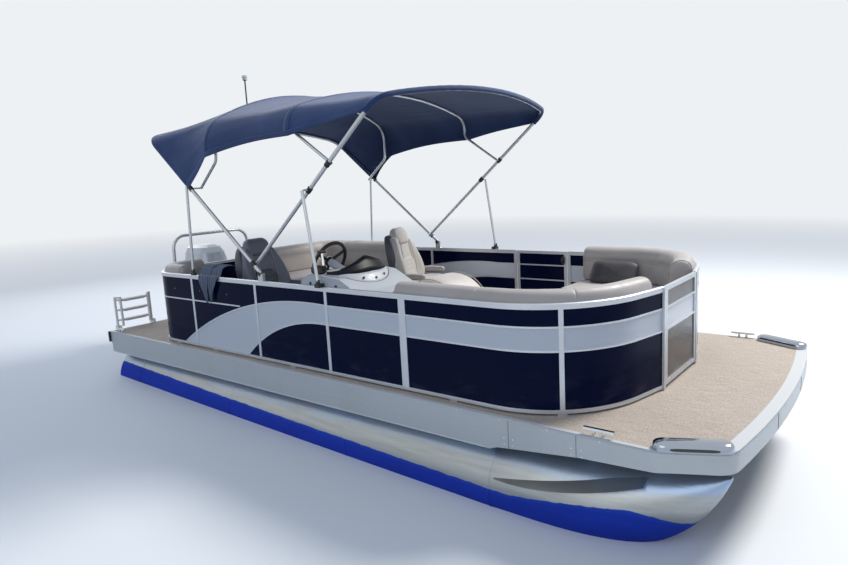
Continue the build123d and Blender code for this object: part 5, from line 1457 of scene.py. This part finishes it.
class BOAT_OT_console(bpy.types.Operator):
    """Helm console with its dash, dials, switches, cup holders, windscreen and wheel"""

    bl_idname = "boat.console"
    bl_label = "Console"

    # lean of the slope that faces the helm, and the way out from it
    slope = 27.2
    slope_up = (-0.457, 0, 0.889)

    # height of the console's top along the boat
    top_x = (0.0, 0.060, 0.380, 0.560, 0.83)
    top_z = (1.340, 1.3745, 1.3440, 1.2500, 1.22)

    def execute(self, context):
        dress("console", "helm_console")
        dress("black", "steering_wheel")
        low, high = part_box("helm_console")
        self.out, self.inn = low.y, high.y
        self.middle = (self.out + self.inn) / 2
        self.screen()
        self.dash()
        self.throttle()
        self.trim()
        self.wheel()
        return {"FINISHED"}

    def on_slope(self, share, y, lift):
        """A place over the slope that faces the helm, from its foot (0) to its head (1)."""
        foot, head = Vector((-0.098, y, DECK + 0.694)), Vector((0.052, y, DECK + 0.771))
        return foot.lerp(head, share) + Vector(self.slope_up) * lift

    def dash(self):
        """Dark panel on the slope, with three dials, their pointers, switches and the key."""
        lean, up = Matrix.Rotation(radians(-self.slope), 3, "Y"), self.slope_up
        row, switch_row = 0.66, 0.24
        along = Vector((cos(radians(self.slope)), 0, sin(radians(self.slope))))
        dials = ((-0.860, 0.030, 0.026), (-0.930, 0.030, 0.026), (-0.640, 0.022, 0.019))
        dash = Shape()
        dash.block(self.on_slope(0.5, self.middle, 0.002), (0.146, 0.500, 0.008), lean, 0.003)
        dash.block(self.on_slope(0.60, self.middle - 0.165, 0.006), (0.090, 0.130, 0.006), lean, 0.003)
        dash.slot = 1
        for y, r, _ in dials:
            bezel = ((r, 0), (r, 0.006), (r * 0.9, 0.010), (r * 0.86, 0.008))
            dash.lathe(bezel, self.on_slope(row, y, 0.005), up, 30)
        dash.slot = 2
        for y, _, r in dials:
            dash.lathe(((r, 0), (r, 0.0005)), self.on_slope(row, y, 0.0132), up, 24)
        dash.slot = 0
        tick_r = 0.024 * 0.82
        for y, _, _ in dials[:2]:
            centre = self.on_slope(row, y, 0.0142)
            for a in np.linspace(radians(-50), radians(230), 9):
                spot = centre + tick_r * (along * sin(a) + Vector((0, 1, 0)) * cos(a))
                dash.block(spot, (0.002, 0.002, 0.0006), lean, 0.0002)
            dash.tube([centre, centre + Vector((0.012, 0.010, 0.0065))], 0.0008, 6)
        for k in range(5):
            switch = self.on_slope(switch_row, -0.840 - 0.028 * k, 0.009)
            dash.block(switch, (0.022, 0.018, 0.010), lean, 0.002)
        dash.slot = 1
        key = self.on_slope(switch_row, -0.640, 0.006)
        dash.lathe(((0.010, 0), (0.010, 0.004), (0.006, 0.006)), key, up, 18)
        dash.build("dash_panel", "boat", "console_plastic", "dash", "chrome", "dial")

    def throttle(self):
        """Control box on the console's outboard side, with its cranked lever and grip."""
        foot = Vector((0.10, self.out + 0.060, DECK + 0.800))
        crank = ((0, 0.036, 0.0), (0, 0.052, 0.004), (-0.010, 0.056, 0.080), (-0.016, 0.056, 0.125))
        lever = [foot + Vector(p) for p in crank]
        box = Shape()
        box.block(foot, (0.120, 0.070, 0.060), None, 0.010)
        box.slot = 1
        box.tube(lever, [0.012, 0.011, 0.008, 0.008], 14)
        box.slot = 0
        box.tube([lever[-1] + Vector((0, y, 0.004)) for y in (-0.036, 0.034)], 0.013, 16)
        box.build("throttle", "boat", "black_plastic", "black", "chrome")

    def trim(self):
        """Joint of the console's lid, its door, screw caps, a latch and cup holders."""
        aft, front = -0.06, 0.8285
        lid = [(aft, self.out), (front, self.out), (front, self.inn), (aft, self.inn)]
        door = [(0.20, 0.70), (0.66, 0.70), (0.66, 1.10), (0.20, 1.10)]
        cups = [(0.700, y, DECK + 0.6335) for y in (self.middle - 0.11, self.middle + 0.11)]
        cup_up = (-0.11, 0, 0.99)
        trim = Shape()
        trim.hoop([(x, y, DECK + 0.560) for x, y in rounded_ring(lid, 0.108, 0.0003, 9)], 0.0016)
        trim.hoop([(x, self.inn + 0.0004, z) for x, z in rounded_ring(door, 0.03, 0.0)], 0.0020)
        trim.slot = 1
        for x, z in ((0.06, DECK + 0.700), (0.34, DECK + 0.690)):
            trim.lathe(((0.013, 0), (0.012, 0.004), (0.006, 0.006)), (x, self.out, z), (0, -1, 0), 18)
        rim = ((0.046, 0.0), (0.048, 0.003), (0.044, 0.006), (0.039, 0.003), (0.039, -0.001))
        for cup in cups:
            trim.lathe(rim, cup, cup_up, 30)
        trim.block((0.62, self.inn + 0.004, 0.90), (0.018, 0.010, 0.070), None, 0.003)
        trim.slot = 2
        for cup in cups:
            trim.lathe(((0.038, 0), (0.036, 0.0006)), cup, cup_up, 26)
        trim.build("console_trim", "boat", "console_plastic", "seam", "black", "dash")

    def screen(self):
        """Low raked screen that wraps round the console's top: a moulded hood below, dark sheet above."""
        # plan: two straight wings, and a bend between them that bulges by sag
        aft, front, sag = 0.190, 0.480, 0.150
        half = (self.inn - self.out) / 2 - 0.042
        radius = (half**2 + sag**2) / (2 * sag)
        sweep = degrees(asin(half / radius))
        bend = arc((front - radius, self.middle), radius, -sweep, sweep, 30)
        wing = [(x, bend[0][1]) for x in np.linspace(aft, bend[0][0], 9, endpoint=False)]
        walk = Walk(wing + bend + [(x, bend[-1][1]) for x, _ in wing[::-1]])
        # upper edge: low at the ends of the wings, rising over a run towards the front
        end_height, rise, rise_run = 1.384, 0.106, 0.50
        lean, sunk = tan(radians(34.0)), 0.004
        rows = []
        for d in np.linspace(0.0, walk.length, 90):
            z = self.top_at(walk.point(d)[0]) - sunk
            height = end_height + rise * float(smooth(min(d, walk.length - d) / rise_run)) - z
            steps = (0.0, 0.12, 0.3, 0.42, 0.6, 0.8, 1.0)
            rows.append(walk.inside(d, [(lean * height * t, z + height * t - sunk * (1 - t)) for t in steps]))
        screen, edge, caps = Shape(), Shape(), Shape()
        screen.sheet([row[3:] for row in rows])
        screen.slot = 1
        screen.sheet([row[:4] for row in rows])
        piece = screen.build("screen_sheet", "boat", "tinted_acrylic", "screen", "console", angle=60)
        thicken(piece, 0.005, 0.0)
        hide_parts("windscreen")
        edge.tube([row[-1] for row in rows], 0.0036, 8)
        edge.tube([(x, y, z + sunk) for x, y, z in (row[0] for row in rows)], 0.0060, 8)
        edge.build("screen_edging", "boat", "black_plastic", "black")
        for d in np.linspace(0.34, walk.length - 0.34, 3):
            (x, _), (ix, iy) = walk.at(d)
            spot = walk.inside(d, [(0.016, self.top_at(x) + 0.030)])[0]
            caps.lathe(((0.010, 0), (0.0095, 0.004), (0.005, 0.006)), spot, (-ix, -iy, 0.50), 18)
        caps.build("screen_caps", "boat", "black_plastic", "black")

    def top_at(self, x):
        """Height of the console's top, so far along the boat."""
        return float(np.interp(x, self.top_x, self.top_z))

    def wheel(self):
        """Grip seams, spoke plates and the cap in the wheel's middle."""
        lean = radians(25.0)
        axis = Vector((-cos(lean), 0, sin(lean)))
        centre = Vector((-0.170, -0.760, DECK + 0.805))
        across, up = Vector((0, 1, 0)), axis.cross(Vector((0, 1, 0)))
        rim_r, seam_r = 0.172, 0.0152
        trim = Shape()
        trim.lathe(((0.036, 0.0145), (0.037, 0.018), (0.030, 0.024), (0.010, 0.027)), centre, axis, 30)
        trim.slot = 1
        trim.lathe(((0.0375, 0.0142), (0.0395, 0.016), (0.0375, 0.0185)), centre, axis, 30)
        for a in (radians(90), radians(210), radians(330)):
            way = across * cos(a) + up * sin(a)
            turn = Matrix((way, axis.cross(way), axis)).transposed()
            trim.block(centre + way * 0.100 + axis * 0.0052, (0.110, 0.016, 0.003), turn, 0.001)
        trim.slot = 0
        for a in angles(12):
            way = across * cos(a) + up * sin(a)
            seam = [way * cos(b) + axis * sin(b) for b in np.linspace(0, 2 * pi, 17)]
            trim.tube([centre + way * rim_r + seam_r * spot for spot in seam], 0.0011, 6, caps=False)
        trim.build("wheel_trim", "steering_wheel", "black_rubber", "black", "chrome")


class BOAT_OT_top(bpy.types.Operator):
    """Folding top: cloth over four bows, drawn tight and sagging between them, and its jaws"""

    bl_idname = "boat.top"
    bl_label = "Folding top"

    # from aft: knee and crown (x, z), half width, shoulder, lower edge above the knee, gap, tube, arch
    bows = (
        ((-0.520, 1.350), (-2.210, 2.708), 1.2210, 0.1965, 1.154, 0.0095, MAIN_R, 3.0),
        ((-1.140, 2.300), (-1.140, 2.900), 1.2080, 0.3000, 0.030, 0.0005, SMALL_R, 2.3),
        ((-0.050, 2.450), (-0.050, 2.800), 1.1950, 0.2000, -0.030, 0.0005, SMALL_R, 3.7),
        ((-0.6116, 1.4239), (0.967, 2.708), 1.1830, 0.1665, 1.735, 0.0120, MAIN_R, 4.2),
    )
    run = len(bows) - 1
    girth = 150

    # between two bows: the curve of the edges as a share of the girth, the sag as a share of its size,
    # and how far the sides are drawn in
    swoops = (0.004, 0.010, 0.004)
    sags = (1.0, 1.0, 1.15)
    tuck = 0.018

    def execute(self, context):
        dress("tube", "bimini_aft_bow", "bimini_front_bow", "bimini_second_bow", "bimini_third_bow")
        dress("tube", "bimini_aft_struts", "bimini_front_struts")
        dress("black", "bimini_mounts")
        self.sizes = context.scene.boat_sizes
        self.sections = [self.section(*bow) for bow in self.bows]
        self.cloth()
        self.jaws()
        self.feet()
        return {"FINISHED"}

    def way_up(self, number):
        """The way from a bow's knee to its crown."""
        (knee_x, knee_z), (crown_x, crown_z) = self.bows[number][:2]
        return Vector((crown_x - knee_x, 0, crown_z - knee_z)).normalized()

    def section(self, knee, crown, half, shoulder, edge, gap, tube, arch_r):
        """The cloth over one bow, from its port edge to its starboard edge."""
        knee, crown = np.array(knee), np.array(crown)
        length = np.linalg.norm(crown - knee)
        up = (crown - knee) / length
        thick = 0.004
        over = tube + gap + thick
        half, shoulder, arch_r = half + thick, shoulder + thick, arch_r + over
        hub, side_y = length + over - arch_r, half - shoulder
        rise = sqrt((arch_r - shoulder) ** 2 - side_y**2)
        turn = atan2(rise, side_y)
        right = [(half, edge + (hub + rise - edge) * t) for t in np.linspace(0, 1, 12, endpoint=False)]
        right += arc((side_y, hub + rise), shoulder, 0, degrees(turn), 17)[:-1]
        right += arc((0, hub), arch_r, degrees(turn), 90, 40)
        flat = np.array(right + [(-y, h) for y, h in right[-2::-1]])
        steps = distances(flat)
        even = np.linspace(0, steps[-1], 400)
        y, h = (np.interp(even, steps, flat[:, k]) for k in (0, 1))
        return np.stack([knee[0] + up[0] * h, y, knee[1] + up[1] * h], axis=1)

    def at(self, t, share):
        """A point of the cloth: t counts the bows from aft, share goes round the girth."""
        i = min(int(t), self.run - 1)
        part = t - i
        swoop = self.swoops[i] * sin(pi * part)
        share = swoop + (1 - 2 * swoop) * share
        a, b = self.sections[i], self.sections[i + 1]
        spot = share * (len(a) - 1)
        k = min(int(spot), len(a) - 2)
        ends = [s[k] + (s[k + 1] - s[k]) * (spot - k) for s in (a, b)]
        point = ends[0] + (ends[1] - ends[0]) * part
        from_edge = 0.5 - abs(share - 0.5)
        point[2] -= self.sizes.sag * self.sags[i] * sin(pi * part) ** 0.8 * smooth(from_edge / 0.30)
        point[1] -= np.sign(point[1]) * self.tuck * sin(pi * part) * (1 - smooth(from_edge / 0.22))
        return Vector(point)

    def lifted(self, t, share, lift=0.0):
        """A point of the cloth, moved out and wrinkled by the pull between the bows."""
        here = self.at(t, share)
        ds, dt = 0.003, 0.02
        round_way = self.at(t, min(share + ds, 1)) - self.at(t, max(share - ds, 0))
        t0, t1 = (t, t + dt) if t + dt <= self.run else (t - dt, t)
        along = self.at(t1, share) - self.at(t0, share)
        out = outward(along.cross(round_way), here, 2.2)
        part = t - int(min(t, self.run - 0.001))
        pull = near(part, 0.0) + near(part, 1.0)
        streak = noise.noise(Vector((share * 46, t * 1.6, 3.1)))
        broad = noise.noise(Vector((share * 9, t * 2.3, 8.4)))
        edge = 1 + 1.4 * near(share, 0.0, 0.05) + 1.4 * near(share, 1.0, 0.05)
        # heights of the wrinkles: all over, more beside a bow, and the broad ones between bows
        fine, more, wide = 0.0022, 0.0020, 0.006
        wave = (fine + more * pull) * streak * edge * sin(pi * min(max(part, 0.02), 0.98)) ** 0.5
        wave += wide * broad * sin(pi * part)
        return here + out * (lift + wave)

    def pocket(self, row, number, reach):
        """The cloth's end carried round an end bow: rows from its outer face to its inner one."""
        up = self.way_up(number)
        away = Vector((0, 1, 0)).cross(up)
        if (away.x > 0) == (number == 0):
            away = -away
        found = []
        for turn in np.radians(np.linspace(12, 205, 13)):
            ring = []
            for k, here in enumerate(row):
                way = (row[min(k + 1, len(row) - 1)] - row[max(k - 1, 0)]).normalized()
                out = outward(away.cross(way), here, 2.3)
                ring.append(here - out * reach + reach * (cos(turn) * out + sin(turn) * away))
            found.append(ring)
        return found

    def cloth(self):
        """The cloth with its pockets, hems and the strips over its seams."""
        shares = np.linspace(0, 1, self.girth)
        tees = sorted(set(np.round(np.concatenate([
            np.linspace(0, 1, 24), np.linspace(1, 2, 22), np.linspace(2, 3, 22), [0.985, 1.015, 1.985, 2.015],
        ]), 4)))
        rows = [[self.lifted(t, s) for s in shares] for t in tees]
        aft_r, front_r = 0.0195, 0.022
        cloth = Shape()
        cloth.sheet(self.pocket(rows[0], 0, aft_r)[::-1] + rows + self.pocket(rows[-1], -1, front_r))
        hem, hem_lift, seam_lift = self.sizes.hem / self.run, 0.0022, 0.0014
        for first, last in ((0.0, hem), (1 - hem, 1.0)):
            across = np.linspace(first, last, 5)
            along = np.linspace(0.004, 2.996, 66)
            cloth.sheet([[self.lifted(t, s, hem_lift) for s in across] for t in along])
        for t0, t1 in ((0.965, 1.035), (1.965, 2.035), (0.0, 0.045), (2.955, 3.0)):
            along = np.linspace(t0, t1, 5)
            cloth.sheet([[self.lifted(t, s, seam_lift) for s in shares[2:-2]] for t in along])
        piece = cloth.build("top_cloth", "boat", "navy_canvas", "canopy", angle=60)
        thicken(piece, 0.0022, -1.0)
        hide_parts("bimini_canopy")
        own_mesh(piece)

    def jaws(self):
        """Black jaw slides where the bows and struts meet."""
        jaw = (
            (0.0165, 0), (0.0205, 0.002), (0.0215, 0.010), (0.0215, 0.042), (0.0205, 0.050), (0.0165, 0.052),
        )
        half_long = 0.026
        for name, body, way, spots in (
            ("aft_jaws", "boat", self.way_up(0), ((-0.6116, 1.4239, 1.205), (-1.4195, 2.0728, 1.205))),
            ("front_jaws", "front_bow", self.way_up(-1), ((0.333, 2.1924, 1.167), (0.1096, 2.0107, 1.167))),
        ):
            jaws = Shape()
            for x, z, half in spots:
                for side in SIDES:
                    jaws.lathe(jaw, Vector((x, side * half, z)) - way * half_long, way, 22)
            jaws.build(name, body, "black_plastic", "black")

    def feet(self):
        """Collars on the aft bow's feet, and the struts' feet on the rail with their screws."""
        collar = ((0.020, 0), (0.022, 0.003), (0.022, 0.030), (0.017, 0.034))
        screw = ((0.006, 0), (0.006, 0.003), (0.003, 0.005))
        rail_y = 1.205
        feet = Shape()
        for side in SIDES:
            feet.lathe(collar, (AFT_FOOT[0], side * rail_y, AFT_FOOT[1] - 0.012), self.way_up(0), 20)
        for x, half in ((-1.530, rail_y), (0.205, 1.2405)):
            for side in SIDES:
                feet.block((x, side * half, RAIL_TOP + 0.044), (0.036, 0.020, 0.034), None, 0.005)
                feet.lathe(screw, (x, side * (half + 0.010), RAIL_TOP + 0.046), (0, side, 0), 12)
        feet.build("strut_feet", "boat", "black_plastic", "black")


class BOAT_OT_fittings(bpy.types.Operator):
    """Stern light, tow bar, boarding ladder, outboard and propeller"""

    bl_idname = "boat.fittings"
    bl_label = "Fittings"

    def execute(self, context):
        dress("black", "light_pole", "engine_block")
        dress("tube", "tow_bar")
        dress("ladder", "ladder_upper", "ladder_lower", "ladder_brackets")
        dress("cowl", "outboard_cowl")
        dress("leg", "outboard_leg", "outboard_swivel", "outboard_clamp")
        dress("steel", "propeller")
        self.lamp()
        self.treads()
        self.engine()
        return {"FINISHED"}

    def lamp(self):
        """All-round light on its pole: a clear lens between a white cap and a white socket."""
        x, y, low, socket_z = -2.269, 0.120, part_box("light_pole")[1].z - 0.048, 2.712
        lens = ((0.0245, 0), (0.0262, 0.003), (0.0262, 0.031), (0.0245, 0.034))
        cap = ((0.0345, 0), (0.0350, 0.003), (0.0300, 0.012), (0.0180, 0.0165), (0.004, 0.0175))
        socket = ((0.012, 0), (0.013, 0.004), (0.011, 0.030), (0.0085, 0.034))
        lamp = Shape()
        lamp.lathe(lens, (x, y, low), sides=28)
        lamp.slot = 1
        lamp.lathe(cap, (x, y, low + 0.0335), sides=28)
        lamp.lathe(socket, (x, y, socket_z), sides=18)
        lamp.build("stern_lamp", "boat", "white_plastic", "clear", "white")

    def treads(self):
        """Moulded treads on the ladder's rungs, with five ribs each."""
        y, first_z, rise = -0.995, 0.624, 0.320
        for name, half in (("ladder_upper", 0.160), ("ladder_lower", 0.120)):
            low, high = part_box(name)
            x = (low.x + high.x) / 2
            treads = Shape()
            for share in (0.21, 0.55, 0.89):
                z = first_z + share * rise
                treads.block((x, y, z), (0.030, half * 2, 0.026), None, 0.006)
                for k in range(-2, 3):
                    rib = (x - 0.0155, y + k * half * 0.36, z)
                    treads.block(rib, (0.003, half * 0.20, 0.018), None, 0.001)
            treads.build(name + "_treads", name, "black_plastic", "tread")

    def engine(self):
        """Two bands round the outboard's cowl, and four louvres on each side."""
        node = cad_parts["outboard_cowl"]
        low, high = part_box("outboard_cowl")
        trim = Shape()
        for z, out, r in ((low.z + 0.120, 0.0010, 0.0032), (low.z + 0.012, 0.0015, 0.0050)):
            ring = self.girdle(node, z)
            if len(ring) > 8:
                middle = sum(ring, Vector()) / len(ring)
                ring.sort(key=lambda p: atan2(p.y - middle.y, p.x - middle.x))
                trim.hoop([p + (p - middle).normalized() * out for p in ring], r, 8)
        for side in SIDES:
            for k in range(4):
                louvre = (high.x - 0.060 - 0.012 * k, side * 0.120, low.z + 0.37 - 0.030 * k)
                trim.block(louvre, (0.050, 0.010, 0.006), None, 0.002)
        trim.build("cowl_trim", "outboard", "black_plastic", "black")

    def girdle(self, node, height):
        """Where a level cuts the edges of a node's mesh."""
        found = []
        for edge in node.data.edges:
            a, b = (node.matrix_world @ node.data.vertices[i].co for i in edge.vertices)
            if (a.z - height) * (b.z - height) < 0:
                found.append(a.lerp(b, (height - a.z) / (b.z - a.z)))
        return found


class BOAT_OT_boot(bpy.types.Operator):
    """Grey cloth laid over the starboard rail, its two tails hanging outside"""

    bl_idname = "boat.boot"
    bl_label = "Boot cloth"

    def execute(self, context):
        tail = context.scene.boat_sizes.tail
        cloth = Shape()
        for centre, width, drop, tip_x, seed in (
            (-1.345, 0.165, tail + 0.010, -1.300, 2.0),
            (-1.185, 0.150, tail - 0.010, -1.235, 7.0),
        ):
            path = self.path(drop)
            shares = distances(np.array(path))
            shares /= shares[-1]
            cloth.sheet([
                self.row(y, z, share, centre, width, tip_x - centre, seed)
                for (y, z), share in zip(path, shares)
            ])
        piece = cloth.build("boot_cloth", "boat", "grey_vinyl", "boot", angle=60, weld=True)
        thicken(piece, 0.0025, 1.0)
        return {"FINISHED"}

    def path(self, drop):
        """The cloth's way (y, z) over the seat's back and the rail, and down outside."""
        outer, inner = -FENCE_HALF, 0.030 - FENCE_HALF
        return blend_rows([
            (-1.050, 1.362), (-1.110, 1.370), (inner + 0.020, 1.352), (inner + 0.002, RAIL_TOP + 0.022),
            (inner - 0.008, RAIL_TOP + 0.0095), (outer + 0.006, RAIL_TOP + 0.0095),
            (outer - 0.007, RAIL_TOP - 0.004), (outer - 0.014, RAIL_TOP - 0.050),
            (outer - 0.017, RAIL_TOP - drop * 0.6), (outer - 0.013, RAIL_TOP - drop),
        ], 6)

    def row(self, y, z, share, centre, width, drift_x, seed):
        """One row across a tail, folded and drawn in towards its tip."""
        half = width / 2 * (1.0 - 0.80 * smooth((share - 0.45) / 0.55))
        shift = drift_x * smooth((share - 0.35) / 0.65)
        outside = smooth((share - 0.30) / 0.10)
        fold_height, stray = 0.010, 0.005
        found = []
        for v in np.linspace(-1, 1, 17):
            fold = fold_height * (0.5 + 0.5 * cos(v * 3.4 * pi + seed)) * (1 - 0.4 * share)
            drift = stray * noise.noise(Vector((v * 3, share * 6, seed)))
            lift = fold + abs(drift)
            x = centre + shift + half * v + 0.4 * drift
            found.append((x, y - lift * outside, z + lift * (1 - outside)))
        return found


class BOAT_PT_panel(bpy.types.Panel):
    """The boat's pieces, its colours and its sizes"""

    bl_idname = "BOAT_PT_panel"
    bl_label = "Pontoon Boat"
    bl_space_type = "VIEW_3D"
    bl_region_type = "UI"
    bl_category = "Boat"

    def draw(self, context):
        column = self.layout.column(align=True)
        for step in STEPS:
            column.operator(step.bl_idname)
        for title, group in (("Colours", context.scene.boat_colours), ("Sizes", context.scene.boat_sizes)):
            box = self.layout.box()
            box.label(text=title)
            for name in group.__annotations__:
                box.prop(group, name)


STEPS = (
    BOAT_OT_stage,
    BOAT_OT_hull,
    BOAT_OT_fence,
    BOAT_OT_lounges,
    BOAT_OT_chairs,
    BOAT_OT_console,
    BOAT_OT_top,
    BOAT_OT_fittings,
    BOAT_OT_boot,
)
CLASSES = (BoatColours, BoatSizes) + STEPS + (BOAT_PT_panel,)


def register():
    for each in CLASSES:
        bpy.utils.register_class(each)
    bpy.types.Scene.boat_colours = bpy.props.PointerProperty(type=BoatColours)
    bpy.types.Scene.boat_sizes = bpy.props.PointerProperty(type=BoatSizes)


def unregister():
    del bpy.types.Scene.boat_sizes
    del bpy.types.Scene.boat_colours
    for each in reversed(CLASSES):
        bpy.utils.unregister_class(each)


def main():
    """Builds the whole boat over the frame."""
    register()
    bpy.ops.boat.stage()
    bpy.ops.boat.hull()
    bpy.ops.boat.fence()
    bpy.ops.boat.lounges()
    bpy.ops.boat.chairs()
    bpy.ops.boat.console()
    bpy.ops.boat.top()
    bpy.ops.boat.fittings()
    bpy.ops.boat.boot()


if __name__ == "__main__":
    main()
